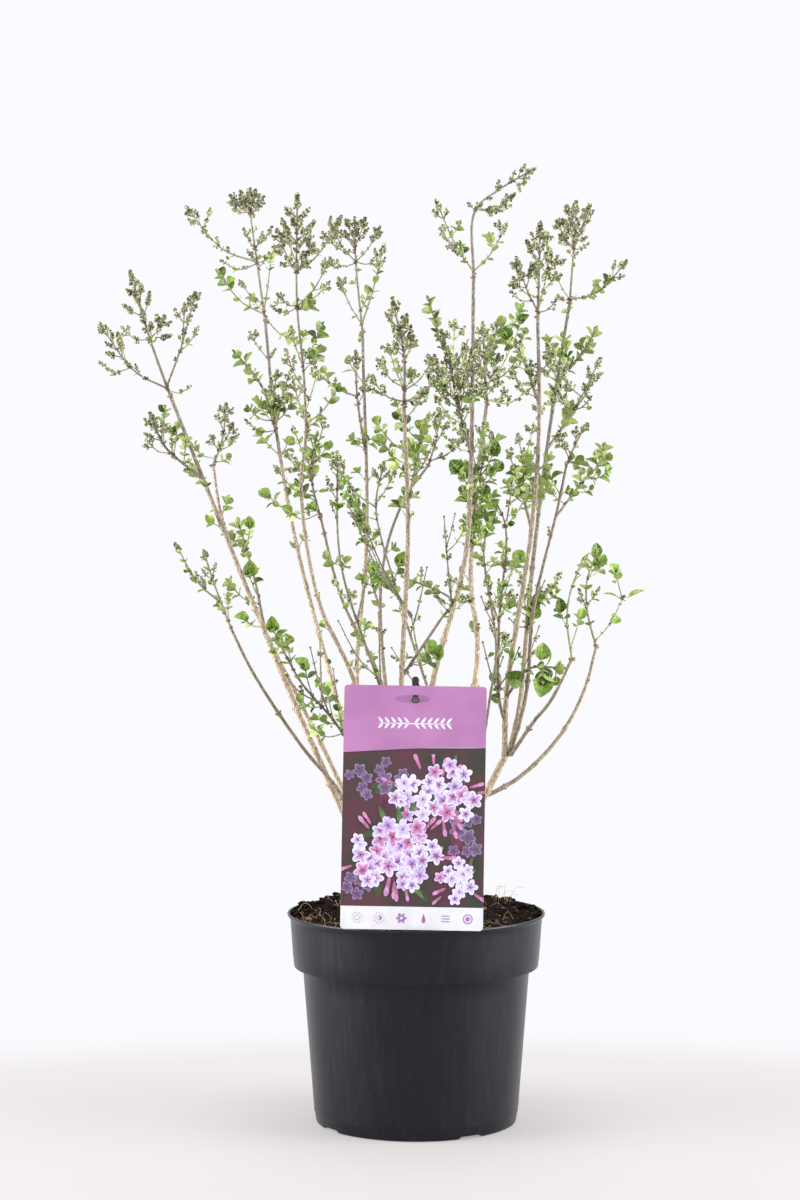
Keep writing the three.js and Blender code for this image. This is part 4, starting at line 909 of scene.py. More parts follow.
BUD_GREEN, BUD_OLIVE, BUD_YELLOW, BUD_DARK, BUD_BROWN = range(5)
PALE_BUDS = (BUD_YELLOW, BUD_GREEN, BUD_YELLOW, BUD_OLIVE)
PLAIN_BUDS = (BUD_OLIVE, BUD_OLIVE, BUD_YELLOW, BUD_GREEN)
BUD = Sizes(length=2, radius=0.92, dark=0.12, darker=0.55)
BUD_PROFILE = ((0, 0), (0.12, 0.65), (0.5, 1), (0.84, 0.76), (1, 0))
BUD_TONES = (BUD_GREEN, BUD_GREEN, None, None)
BUD_SIDES = 5
END_BUD, SIDE_BUD = (2.6, 0.9), (1.9, 0.6)  # brown ones on bare wood: their length and radius
KNOB_STEP = 1.8  # from one pair of buds of a knob to the next
KNOB_WHORLED = 5.2  # knobs wider than this have their buds in fours
# A head shorter than `simple` is one knob. The last three are chances at each of its nodes.
HEAD = Sizes(simple=9, narrow=4, wide=6.6, reach=18, node=5.5, branchlets=0.94, bracts=0.5,
             mixed_bracts=0.9)
RIPENESS = {H: 0.08, M: 0.08, D: 1.2, P: 0}  # from 0 for pale buds to 1 or more for dark ones

LEAF_FRESH, LEAF_MID, LEAF_DARK, LEAF_PALE, LEAF_UNDER, LEAF_RIB, LEAF_VEIN, LEAF_SOFT = range(8)
TINTS = (LEAF_FRESH, LEAF_MID, LEAF_DARK, LEAF_PALE)
PLAIN_TINTS = (LEAF_FRESH, LEAF_MID, LEAF_MID, LEAF_DARK, LEAF_PALE)
DARK_TINTS = (LEAF_DARK, LEAF_DARK, LEAF_MID)
BROAD_TINTS = (LEAF_MID, LEAF_MID, LEAF_FRESH)
OTHER_TINT = 0.35  # the chance that a leaf has another tint than its shoot's
PALE_BRACT = 0.6  # the chance that a bract is pale
SOFT_ABOVE = 530  # fresh leaves are paler and greyer above this
# The pairs of a tuft: how far back from the tip they root, their angle, length and width as
# shares of the leaf size, how they curl, and their quarter turn.
TUFT = ((1.25, 0.9, 0.92, 0.84, 0.3, 0), (0.72, 0.62, 0.84, 0.84, 0.1, 1), (0.4, 0.2, 0.5, 0.6, -0.5, 0))
TUFT_LARGEST = 12.5
LEAF_FACING = np.array([0.1, -1, 0.35])  # broad leaves spread to the front and a little upwards
NARROW_FACING = np.array([0, -0.4, 1])


class Mass:
    """The stalk of one mass and all that grows from it."""

    def __init__(self, row, index, gap):
        self.name, self.limb, self.start, self.stalk, self.end, self.size, self.rows = row
        self.draw = seeded(MASS_SEED + MASS_SEED_STEP * index)
        self.gap = gap
        self.twigs, self.rods, self.buds, self.leaves, self.small_leaves, self.bracts = [], [], [], [], [], []
        self.scales, self.tint, self.pale = [], LEAF_MID, False
        curve, (low, high) = LIMB_CURVES[self.limb]
        share = 1 if self.start is TIP else curve.share_at_height(self.start)
        root = curve.at(share) - (curve.heading(1) if share == 1 else 0)
        self.curve = Curve([root, *(place_of(spot) for spot in self.stalk)])
        self.root_radius = min(STALK.root, (low + (high - low) * share) * 0.85)
        self.shoots = []

    def pick(self, choices):
        return choices[int(len(choices) * self.draw())]

    def astray(self):
        """A small direction that varies from leaf to leaf."""
        return np.array([self.draw(), self.draw(), self.draw()]) - 0.5

    def grow(self):
        self.grow_twig(self.curve, self.root_radius, STALK.tip, self.end, self.size, STALK.pairs)
        for index, row in enumerate(self.rows):
            self.grow_shoot(index, *row)

    def root_share(self, parent, x, z, height):
        if height:
            return min(max(parent.share_at_height(height), 0.03), 0.96)
        shares = np.linspace(0.04, 0.9, 44)
        root_x, root_z = elevation_of(parent.at(shares))
        return shares[np.argmin(np.abs(z - root_z - RISE * np.abs(x - root_x)))]

    def grow_shoot(self, index, x, z, height, end, size, fork=None):
        """A side shoot that ends at a place on the elevation, swung back or forth to stay clear."""
        parent = self.curve if fork is None else self.shoots[fork]
        root = parent.at(self.root_share(parent, x, z, height))
        root_x, root_z = elevation_of(root)
        reach = math.hypot(x - root_x, z - root_z)
        side = 1 if index % 2 else -1
        flat = (x - root_x) / max(reach, 1e-6)
        best = None
        for swing in SWINGS:
            tip = place_of((x, z, root[1] + side * swing * reach))
            middle = (root + tip) / 2 - np.array([0, 0, (SAG[0] + SAG[1] * flat**2) * reach])
            curve = Curve([root, middle, tip])
            room = min(self.gap(point) for point in curve.at(np.linspace(0.35, 1, 6)))
            if best is None or room > best[0]:
                best = (room, curve)
            if room > SHOOT.clear:
                break
        curve = best[1]
        self.shoots.append(curve)
        self.add_scales(root, curve.heading(0))
        thick = min(SHOOT.root, 0.4 + 0.006 * curve.length)
        self.grow_twig(curve, thick, SHOOT.tip, end, size, SHOOT.pairs)

    def add_scales(self, root, along):
        """The red-brown bud scales round the foot of a shoot."""
        for number in range(3):
            out = leaving(along, 0.5 + 0.5 * self.draw(), 2.1 * number + self.draw())
            size = 1.8 + 1.4 * self.draw()
            self.scales.append((root - along * 0.4, out, size, 0.34 * size, TWIG_SCALE))

    def wood_of(self, curve, end):
        """New growth is olive or green, and stalks, bare twigs and long shoots are brown."""
        if curve is self.curve and self.start is TIP and elevation_of(curve.at(1))[1] < NEW_GROWTH_BELOW:
            wood = TWIG_OLIVE
        elif curve is self.curve or end == T or curve.length > TWIG_WOODY and self.draw() < 0.6:
            wood = TWIG_BROWN
        elif end in (L, G, B, K, N):
            wood = TWIG_GREEN if curve.length < 0.7 * TWIG_WOODY else TWIG_OLIVE
        elif end == P:
            wood = TWIG_GREEN
        else:
            wood = TWIG_OLIVE if end == M or self.draw() < 0.4 else TWIG_BROWN
        return wood

    def grow_twig(self, curve, low, high, end, size, pairs):
        """A twig along a curve, with opposite pairs at its nodes and its own end."""
        wood = self.wood_of(curve, end)
        points = curve.spaced(SHOOT.step)
        radii = low + (high - low) * np.linspace(0, 1, len(points))
        swell = 1 + 0.12 * np.sin(np.arange(len(points)) * 2.1 + self.draw() * 6)
        self.twigs.append((*sweep(points, radii * swell, SHOOT.sides), wood))
        self.pale = end == P
        if end in (H, D, P, M):
            self.grow_head(curve, size, wood, end)
            self.grow_pairs(curve, 1 - size / curve.length, pairs, SHOOT.leaf if end == M else 0, wood)
        elif end in (L, G):
            self.grow_leafy(curve, min(size, TUFT_LARGEST), end == G)
        elif end in (B, K):
            self.grow_broad(curve, size, end == K)
        elif end == N:
            self.grow_narrow(curve, size)
        else:
            along = curve.heading(1)
            self.buds.append((curve.at(1) - along, along, *END_BUD, BUD_BROWN))
            self.grow_pairs(curve, 0.9, 2 * pairs, 0, wood)

    def grow_pairs(self, curve, stop, step, leaf, wood):
        """Opposite pairs along the lower part of a twig: small knobs of buds, or small leaves."""
        start = max(min(0.2, 5 / curve.length), 1 - LEAFY_RUN / curve.length)
        count = int(curve.length * (stop - start) / step + 0.6)
        turn = self.draw() * math.pi
        for number in range(count):
            share = start + (stop - start) * (number + 0.5) / count
            at, along = curve.at(share), curve.heading(share)
            for turned in (turn, turn + math.pi):
                chance = self.draw()
                if leaf and chance < PAIR_CHANCES.leaf:
                    self.add_leaf(at, along, 0.8, turned, leaf * (0.8 + 0.5 * self.draw()), 0.62)
                elif chance < PAIR_CHANCES.knob:
                    self.add_knob(at, leaving(along, 0.6, turned), 2.5 + 5 * self.draw(), 3.8, wood, 0.4)
                elif chance < PAIR_CHANCES.tuft:
                    self.add_tuft(at, along, turned, 3 + 2.5 * self.draw())
                elif chance < PAIR_CHANCES.bract:
                    self.add_bract(at, along, turned, 3 + 2 * self.draw())
                else:
                    out = leaving(along, 0.6, turned)
                    self.buds.append((at + out * 0.4, out, *SIDE_BUD, BUD_BROWN))
            turn += math.pi / 2

    # -- buds
    def add_bud(self, root, axis, ripe):
        """One bud; `ripe` from 0 to 1 makes it likelier to be dark."""
        if self.draw() < BUD.dark + BUD.darker * ripe:
            look = BUD_DARK if self.draw() < 0.5 else BUD_BROWN
        else:
            look = self.pick(PALE_BUDS if self.pale else PLAIN_BUDS)
        size = 0.85 + 0.3 * self.draw()
        self.buds.append((root, axis, BUD.length * size, BUD.radius * size, look))

    def add_knob(self, root, axis, length, width, wood, ripe):
        """A short spike of crowded buds in opposite pairs, with one at its end."""
        end = root + axis * length
        if self.gap(end) < CLEAR.knob:
            return
        self.rods.append((root, end, *TWIGLETS.knob, wood))
        count = max(1, round(length / KNOB_STEP))
        turn = self.draw() * math.pi
        whorl = 2 if width < KNOB_WHORLED else 4
        for number in range(count):
            share = (number + 0.35) / count
            at = root + axis * length * share
            reach = max(0.5 * width * (1 - 0.55 * share) - 1.2, 0.1)
            for turned in turn + turns(whorl):
                out = leaving(axis, 0.95 - 0.4 * share, turned + 0.4 * (self.draw() - 0.5))
                if reach > 0.6:
                    self.rods.append((at, at + out * (reach + 0.3), *TWIGLETS.bud, wood))
                self.add_bud(at + out * reach, out, ripe * (0.3 + 0.7 * share))
            turn += math.pi / whorl
        self.add_bud(end - axis * 0.5, axis, ripe + 0.2)

    def add_branchlet(self, root, out, up, reach, wood, ripe):
        """A side branchlet of a head: a thin stem that turns up into a knob of buds."""
        bend = root + out * reach * 0.5
        if self.gap(bend) < CLEAR.branchlet:
            return
        self.rods.append((root, bend, *TWIGLETS.branchlet, wood))
        axis = unit(out + 0.35 * up)
        self.add_knob(bend, axis, reach * 0.5, 3.9 + 0.09 * reach, wood, ripe)
        if reach > 8:
            for turned in (0.4, 0.4 + math.pi):
                side = leaving(out, 0.7, turned + self.draw())
                self.add_knob(bend - out * 0.5, side, 1.5 + 2 * self.draw(), 3, wood, ripe * 0.6)

    def grow_head(self, curve, size, wood, end):
        """A loose head: a knob of buds at the tip, and opposite branchlets at the nodes below."""
        length, mixed = min(size, 0.92 * curve.length), end == M
        ripe = RIPENESS[end] + (0.25 if end == P else 0.5) * self.draw()
        knob = length if length < HEAD.simple else 0.16 * length + 5
        root = curve.at(1 - knob / curve.length)
        width = min(HEAD.wide, HEAD.narrow + 0.09 * size) * (0.9 + 0.2 * self.draw())
        self.add_knob(root, unit(curve.at(1) - root), knob, width, wood, ripe + 0.1)
        run, turn = knob + 2, self.draw() * math.pi
        while run < length + 2 and length > 7:
            share = 1 - run / curve.length
            at, along = curve.at(share), curve.heading(share)
            for turned in (turn, turn + math.pi):
                turned += 0.5 * (self.draw() - 0.5)
                reach = min(HEAD.reach, 4.6 + 0.4 * run) * (0.7 + 0.45 * self.draw())
                if self.draw() < HEAD.branchlets:
                    out = leaving(along, 0.55 + 0.3 * self.draw(), turned)
                    self.add_branchlet(at, out, along, reach, wood, ripe * (0.5 + 0.5 * self.draw()))
                if self.draw() < (HEAD.mixed_bracts if mixed else HEAD.bracts):
                    self.add_bract(at, along, turned + 0.3, (4.5 if mixed else 3) + 2.5 * self.draw())
            turn += math.pi / 2
            run += HEAD.node + 3 * self.draw()

    # -- leaves
    def blade_row(self, root, along, angle, roll, length, share, look, curl):
        """A blade that leaves its twig by `angle`, its upper side towards the twig's tip."""
        forward = leaving(along, angle, roll)
        across = unit(np.cross(along, forward))
        twist = 0.9 * (self.draw() - 0.5)
        across = across * math.cos(twist) + np.cross(forward, across) * math.sin(twist)
        fold = 0.2 + 0.5 * self.draw()
        return (root, forward, across, length, length * share, curl + 0.4 * self.draw(), fold, look)

    def add_leaf(self, root, along, angle, roll, length, share=0.8, curl=0.1):
        look = self.tint
        if self.draw() < OTHER_TINT:
            look = self.pick(TINTS)
        if look == LEAF_FRESH and elevation_of(root)[1] > SOFT_ABOVE:
            look = LEAF_SOFT
        share = share * (0.92 + 0.16 * self.draw())
        row = self.blade_row(root, along, angle, roll, length, share, look, curl)
        points = [root + row[1] * length * share for share in (0.5, 0.8, 1)]
        if min(self.gap(point) for point in points) > CLEAR.leaf * length:
            (self.leaves if length > LARGE_FROM else self.small_leaves).append(row)

    def add_bract(self, root, along, roll, length):
        look = LEAF_PALE if self.draw() < PALE_BRACT else LEAF_FRESH
        row = self.blade_row(root, along, 0.6, roll, length, 0.4, look, 0)
        if self.gap(root + row[1] * length) > CLEAR.bract:
            self.bracts.append(row)

    def add_tuft(self, root, along, roll, size):
        """A few small leaves on a short spur."""
        out = leaving(along, 0.7, roll)
        end = root + out * size * (0.5 + 0.6 * self.draw())
        self.rods.append((root, end, *TWIGLETS.spur, TWIG_GREEN))
        turn = self.draw() * math.pi
        for number, angle in enumerate((0.8, 0.8, 0.3)):
            self.add_leaf(end, out, angle, turn + number * math.pi, size * (0.9 + 0.4 * self.draw()), 0.7)

    def grow_axils(self, nodes):
        """Tufts and knobs in the axils of the limb that carries this mass."""
        curve, (low, high) = LIMB_CURVES[self.limb]
        for run, turn in nodes:
            at, along = curve.at(run / curve.length), curve.heading(run / curve.length)
            height = elevation_of(at)[1]
            dense = AXILS.dense < height < AXILS.high
            often = AXILS.often if dense else AXILS.seldom if height > AXILS.low else 0
            radius = low + (high - low) * run / curve.length
            for turned in (turn, turn + math.pi):
                if self.draw() > often:
                    continue
                foot = at + leaving(along, math.pi / 2, turned) * radius * 0.9
                self.tint = self.pick(TINTS)
                if dense and self.draw() < AXILS.sprig:
                    self.grow_sprig(foot, along, turned)
                elif self.draw() < AXILS.tuft:
                    self.add_tuft(foot, along, turned, 4 + 4 * self.draw())
                else:
                    self.add_knob(foot, leaving(along, 0.6, turned), 4 + 5 * self.draw(), 4, TWIG_OLIVE, 0.3)

    def grow_sprig(self, foot, along, turned):
        """A short side shoot from a limb's node."""
        reach = SPRIG.reach + SPRIG.further * self.draw()
        out = leaving(along, 0.55 + 0.3 * self.draw(), turned)
        bend = foot + out * reach * 0.5
        curve = Curve([foot, bend, bend + unit(out + 0.5 * along) * reach * 0.5])
        end = self.pick(SPRIG_ENDS)
        leaf = SPRIG.leaf + SPRIG.larger * self.draw()
        self.grow_twig(curve, SPRIG.root, SHOOT.tip, end, leaf, SHOOT.sprig_pairs)

    def grow_broad(self, curve, size, dark):
        """One broad leaf spread to the light at the tip; a long shoot has a tuft under it."""
        along = curve.heading(1)
        if curve.length > BROAD_ALONE:
            self.grow_leafy(curve, 0.8 * size, dark, curve.length > TWIG_WOODY)
        self.tint = LEAF_DARK if dark else self.pick(BROAD_TINTS)
        root = curve.at(1) - along * 0.5 * size
        forward = unit(along + 0.7 * self.astray())
        facing = unit(LEAF_FACING + 1.1 * self.astray())
        across = unit(np.cross(facing, forward))
        width = size * (0.74 + 0.16 * self.draw())
        curl, fold = 0.2 + 0.6 * self.draw(), 0.3 + 0.4 * self.draw()
        self.leaves.append((root, forward, across, size, width, curl, fold, self.tint))

    def grow_narrow(self, curve, size):
        """One long leaf, curved down and seen on edge."""
        along = curve.heading(1)
        root, across = curve.at(1) - along * 0.5 * size, unit(np.cross(NARROW_FACING, along))
        self.leaves.append((root, along, across, size, 0.34 * size, 0.7, 0.3, LEAF_MID))

    def grow_leafy(self, curve, size, dark=False, lower=True):
        """A tuft of leaves at the tip, and smaller opposite pairs below it."""
        self.tint = self.pick(DARK_TINTS if dark else PLAIN_TINTS)
        along, turn = curve.heading(1), self.draw() * math.pi
        for back, angle, grown, share, curl, quarter in TUFT:
            root = curve.at(max(1 - back * size / curve.length, 0.1))
            for turned in (turn, turn + math.pi):
                turned += quarter * math.pi / 2 + 0.3 * (self.draw() - 0.5)
                length = size * grown * (0.88 + 0.2 * self.draw())
                self.add_leaf(root, along, angle + 0.2 * self.draw(), turned, length, share, curl)
        run, number = 1.3 * size + 5, 1
        while lower and run < min(curve.length - 3, LEAFY_RUN):
            share = 1 - run / curve.length
            at, along = curve.at(share), curve.heading(share)
            grown = size * (0.5 + 0.34 * share) * (0.8 + 0.4 * self.draw())
            for turned in (turn, turn + math.pi):
                turned += number * math.pi / 2 + 0.3 * (self.draw() - 0.5)
                self.add_leaf(at, along, 0.7 + 0.3 * self.draw(), turned, grown, 0.62)
                if self.draw() < 0.45:
                    self.add_bract(at, along, turned + 0.8, 2.5 + 2.5 * self.draw())
            run += 10 + 6 * self.draw()
            number += 1


def make_masses():
    twig_looks = [mottled("twig_brown", (80, 71, 58), (131, 123, 104), 1.0, 0.7, stretch=(1, 1, 0.3)),
                  mottled("twig_olive", (97, 98, 72), (141, 141, 112), 1.0, 0.65, stretch=(1, 1, 0.3)),
                  mottled("twig_green", (112, 126, 75), (156, 167, 114), 1.0, 0.6, stretch=(1, 1, 0.3)),
                  mottled("twig_scale", (64, 42, 34), (98, 70, 56), 1.0, 0.7)]
    bud_looks = [mottled("bud_green", (105, 111, 74), (146, 151, 108), 0.8, 0.55),
                 mottled("bud_olive", (99, 99, 70), (137, 137, 103), 0.8, 0.55),
                 mottled("bud_yellow", (138, 141, 98), (184, 185, 146), 0.8, 0.55),
                 mottled("bud_dark", (34, 28, 21), (66, 55, 42), 0.8, 0.6, specular=0.25),
                 mottled("bud_brown", (66, 57, 36), (104, 91, 62), 0.8, 0.6, specular=0.25)]
    leaf_looks = [leaf_material("leaf_fresh", (100, 128, 50), (140, 165, 84)),
                  leaf_material("leaf_mid", (77, 105, 30), (120, 146, 60)),
                  leaf_material("leaf_dark", (42, 63, 18), (76, 99, 38)),
                  leaf_material("leaf_pale", (139, 154, 85), (184, 196, 132)),
                  leaf_material("leaf_under", (115, 132, 67), (141, 155, 90), 0.6),
                  leaf_material("leaf_rib", (118, 144, 62), (150, 176, 92)),
                  leaf_material("leaf_vein", (92, 122, 36), (128, 156, 62)),
                  leaf_material("leaf_soft", (102, 118, 66), (147, 161, 103))]
    twigs = Batch("twigs", "bark", twig_looks)
    buds = Batch("flower_buds", "buds", bud_looks)
    leaves = Batch("leaves", "leaf", leaf_looks)
    gap = limb_finder()
    for index, row in enumerate(MASSES):
        mass = Mass(row, index, gap)
        mass.grow()
        if mass.start is TIP:
            mass.grow_axils(LIMB_NODES[mass.limb])
        wood = [*mass.twigs]
        if mass.scales:
            wood.append(spindles(mass.scales, SCALE_PROFILE, 5, (None,) * 4))
        if mass.rods:
            wood.append(rods(mass.rods))
        twigs.add(mass.name, *joined(wood))
        if mass.buds:
            buds.add(mass.name, *spindles(mass.buds, BUD_PROFILE, BUD_SIDES, BUD_TONES))
        green = []
        for rows, cut in ((mass.leaves, LARGE_BLADE), (mass.small_leaves, SMALL_BLADE),
                          (mass.bracts, BRACT_BLADE)):
            if rows:
                green.append(blades(rows, cut, LEAF_UNDER, LEAF_RIB, LEAF_VEIN))
        if green:
            leaves.add(mass.name, *joined(green))
    for batch in (twigs, buds, leaves):
        batch.make()


# ---- the pot and its soil --------------------------------------------------------------------
def make_pot():
    """The pot turned from its profile, with the drainage notches raised in its foot ring."""
    p = POT
    high, lip, wall = p.height, p.lip, p.wall
    profile = [
        (p.pad - 1, 0), (p.pad, 0.3), (p.pad + 2, p.foot_height),
        (p.foot_ring - 5.6, p.foot_height), (p.foot_ring - 4.4, 0.4), (p.foot_ring - 3.8, 0),
        (p.foot_ring - 0.6, 0), (p.foot_ring, 0.3), (p.foot_ring + 0.3, 1), (p.body_foot - 0.5, 6.4),
        (p.body_foot - 0.4, 7.2), (p.body_foot, 7.8), (p.body_foot + 0.1, 9),
        *((p.body_foot + (p.body_top - p.body_foot) * s, 8 + (p.collar_z - 9.5) * s)
          for s in (0.12, 0.3, 0.5, 0.7, 0.88)),
        (p.body_top, p.collar_z - 1.2), (p.body_top + 0.4, p.collar_z - 0.4),
        (p.collar_foot - 0.9, p.collar_z), (p.collar_foot - 0.1, p.collar_z + 0.4),
        (p.collar_foot + 0.1, p.collar_z + 1.2), (p.collar_foot + 1.2, p.collar_z + 12),
        (p.collar - 0.3, high - 9), (p.collar + 0.1, high - 5), (p.collar + 0.5, high - 3),
        (lip - 0.5, high - 2), (lip - 0.1, high - 1.4), (lip, high - 0.8), (lip - 0.2, high - 0.2),
        (lip - 0.6, high), (lip - 1.3, high), (lip - 1.8, high - 0.4),
        (lip - 2.2, high - 1.2), (p.collar - wall, high - 9), (p.collar_foot - wall, p.collar_z + 2),
        (p.body_top - wall, p.collar_z - 1), (p.body_foot - wall, p.floor + 0.8),
        (p.body_foot - wall - 2, p.floor)]
    segments = p.segments
    radius, height = (np.array(column)[:, None] for column in zip(*profile))
    turn = turns(segments)[None]
    radius, height = radius + 0 * turn, height + 0 * turn
    for number in range(NOTCH.count):
        middle = math.radians(NOTCH.first + 360 / NOTCH.count * number)
        off = np.abs((turn - middle + math.pi) % (2 * math.pi) - math.pi) * p.foot_ring
        inside = (off < NOTCH.width / 2) & (radius > p.foot_ring - 5) & (height < p.foot_height)
        height = np.where(inside, np.maximum(height, NOTCH.rise), height)
    ripple = 0.12 * np.sin(3 * turn + 0.4) + 0.07 * np.sin(7 * turn)
    radius = radius + ripple * (radius > p.pad + 5)
    points = np.stack([radius * np.cos(turn), radius * np.sin(turn), height], -1).reshape(-1, 3)
    ends = [[0, 0, 0], [0, 0, p.floor]]
    faces = ring_faces(len(profile), segments)
    piece = make_mesh("pot_shell", np.vstack([points, ends]), faces, 0, [pot_material()], sharp=50)
    keep(piece, "pot_plastic", ["pot"])


SOIL_SEED = 77
PEAT, PEAT_RED, CHIP, FIBRE = range(4)


def soil_height(x, y):
    """The soil's surface: level near the stems, cloddy towards the wall and higher at the back."""
    radius = math.hypot(x, y)
    out = min(max((radius - SOIL.bare) / (SOIL.edge - SOIL.bare), 0), 1)
    back = max(0, 0.4 + 0.6 * y / radius) * out * SOIL.back_rise if radius > 1 else 0
    clods = 2.1 * noise.fractal(Vector((x, y, 3)) / 9, 0.9, 2.1, 5) * (0.45 + 0.9 * out)
    lumps = 1.6 * max(0, noise.noise(Vector((x, y, 40)) / 5)) * (0.4 + out)
    return SOIL.level + back + clods + lumps + 0.8 * out


def lump(radius, squash, seed):
    """A small crumb: a ball with an uneven skin, flattened by `squash`."""
    rings, sides = 4, 7
    share = (np.arange(1, rings + 1) / (rings + 1))[:, None] * math.pi
    turn = turns(sides)[None]
    uneven = 1 + 0.28 * np.sin(3 * turn + seed) * np.sin(2 * share + seed * 1.7)
    across = np.sin(share) * (uneven + 0.18 * np.cos(5 * turn - seed * 2.3))
    height = -np.cos(share) * squash + 0 * turn
    skin = np.stack([across * np.cos(turn), across * np.sin(turn), height], -1).reshape(-1, 3)
    return np.vstack([skin, [[0, 0, -squash], [0, 0, squash]]]) * radius, ring_faces(rings, sides)


def on_soil(turn, radius, lift=0.0):
    """A place on the soil, or `lift` above it."""
    x, y = radius * math.cos(turn), radius * math.sin(turn)
    return np.array([x, y, soil_height(x, y) + lift])


def from_crown(place):
    return math.hypot(place[0] - CROWN.x, place[1] - CROWN.y)


def soil_bed():
    """The soil's skin, from its surface down to a flat foot inside the pot."""
    rings, segments, foot = SOIL.rings, SOIL.segments, SOIL.level - SOIL.deep
    points = [on_soil(turn, SOIL.edge * (ring + 1) / rings)
              for ring in range(rings) for turn in turns(segments)]
    inner = SOIL.edge - 0.6
    points += [(inner * math.cos(turn), inner * math.sin(turn), foot) for turn in turns(segments)]
    points += [[0, 0, soil_height(0.01, 0)], [0, 0, foot]]
    return np.array(points), ring_faces(rings + 1, segments)[:, ::-1], PEAT


def crumbs(draw):
    """Crumbs all over the soil, with a few chips of bark, and more of them along the back wall."""
    for number in range(SOIL_CRUMBS.count):
        turn, radius = 2 * math.pi * draw(), math.sqrt(draw()) * (SOIL.edge - SOIL_CRUMBS.inset)
        seat = on_soil(turn, radius)
        if from_crown(seat) < CROWN.radius * 0.8:
            continue
        size = SOIL_CRUMBS.least + SOIL_CRUMBS.more * draw() ** 3
        mesh, faces = lump(size, 0.7, number * 1.3)
        look = PEAT_RED if draw() < 0.3 else CHIP if draw() < 0.03 else PEAT
        yield mesh + seat + [0, 0, size * 0.25], faces, look
    for number in range(RIM_CRUMBS.count):
        turn = math.pi * (1.1 * draw() - 0.05)
        seat = on_soil(turn, SOIL.edge - RIM_CRUMBS.inset * (draw() - 0.3))
        size = RIM_CRUMBS.size * (0.3 + 0.7 * draw() ** 1.5)
        mesh, faces = lump(size, 0.8, number * 2.1)
        yield mesh + seat + [0, 0, size * (0.3 + 0.5 * draw())], faces, PEAT


def root_fibres(draw):
    """Dry root fibres that arch over the soil, half of them on the left."""
    largest = SOIL.edge - 1.5
    for number in range(FIBRES.count):
        turn, radius = 2 * math.pi * draw(), math.sqrt(0.1 + 0.9 * draw()) * (SOIL.edge - 4)
        if number % 2:
            turn = math.pi + 2.2 * (draw() - 0.5)
        x, y = radius * math.cos(turn), radius * math.sin(turn)
        under_label = y < -74 and abs(x) < 54
        if from_crown((x, y)) < CROWN.radius or under_label:
            continue
        heading, bend, reach = 2 * math.pi * draw(), 3 * (draw() - 0.5), 8 + 16 * draw()
        arch = 1.2 + 5 * draw() ** 3
        way = []
        for share in np.linspace(0, 1, FIBRES.points):
            x += reach / (FIBRES.points - 1) * math.cos(heading + bend * share)
            y += reach / (FIBRES.points - 1) * math.sin(heading + bend * share)
            shrink = min(largest / math.hypot(x, y), 1)
            x, y = x * shrink, y * shrink
            way.append((x, y, soil_height(x, y) + 0.2 + arch * math.sin(math.pi * share)))
        yield (*sweep(Curve(way).spaced(1.6), 0.07 + 0.07 * draw(), 4), FIBRE)
    for _ in range(HAIRS.count):
        foot = on_soil(HAIRS.at + HAIRS.spread * (draw() - 0.5), SOIL.edge - 6, lift=-0.5)
        lean = np.array([draw() - 0.3, 0.4 * (draw() - 0.5), 0])
        rise = HAIRS.rise * (0.4 + 0.6 * draw())
        way = [foot + lean * out + [0, 0, up * rise] for out, up in ((0, 0), (3, 0.6), (9, 1), (17, 0.95))]
        yield (*sweep(Curve(way).spaced(1.6), HAIRS.radius, 4), FIBRE)


def make_soil():
    draw = seeded(SOIL_SEED)
    materials = [soil_material(), mottled("peat_red", (28, 15, 10), (52, 30, 19), 1.4, 0.9),
                 mottled("bark_chip", (74, 54, 38), (108, 84, 58), 1.4, 0.85),
                 mottled("root_fibre", (112, 88, 60), (176, 150, 112), 1.0, 0.8)]
    meshes = joined([soil_bed(), *crumbs(draw), *root_fibres(draw)])
    piece = make_mesh("peat_soil", *meshes, materials, sharp=80)
    keep(piece, "soil", ["soil"])


# ---- the label and its stake -----------------------------------------------------------------
def label_matrix():
    lean, roll = math.radians(LABEL.lean), math.radians(LABEL.roll)
    place = Matrix.Translation((LABEL.x, LABEL.y, LABEL.z))
    return np.array(place @ Matrix.Rotation(-lean, 4, "X") @ Matrix.Rotation(roll, 4, "Y"))


def plate(outline, front, back):
    """A flat plate, its outline [(across, up)] anticlockwise as seen from the front."""
    outline = np.asarray(outline, float)
    count = len(outline)
    layers = [np.stack([outline[:, 0], np.full(count, depth), outline[:, 1]], 1) for depth in (back, front)]
    middle = outline.mean(0)
    ends = [[middle[0], back, middle[1]], [middle[0], front, middle[1]]]
    return np.vstack([*layers, ends]), ring_faces(2, count)


def rounded(width, low, high, corner, sides=6):
    """The outline of a rectangle that stands on `low`, with round corners."""
    half, outline = width / 2 - corner, []
    for number, (x, z) in enumerate([(half, low + corner), (half, high - corner), (-half, high - corner),
                                     (-half, low + corner)]):
        for step in range(sides + 1):
            angle = (number - 1) * math.pi / 2 + step / sides * math.pi / 2
            outline.append((x + corner * math.cos(angle), z + corner * math.sin(angle)))
    return outline


def oval(x, z, long, wide, turned, sides=12, pinch=0.0):
    """A petal or leaf shape from its foot at (x, z); `pinch` narrows it to a point at its end."""
    outline = []
    for step in range(sides):
        angle = 2 * math.pi * step / sides
        along = long / 2 * (1 - math.cos(angle))
        side = -wide / 2 * math.sin(angle) * (1 - pinch * along / long)
        outline.append((x + along * math.cos(turned) - side * math.sin(turned),
                        z + along * math.sin(turned) + side * math.cos(turned)))
    return outline


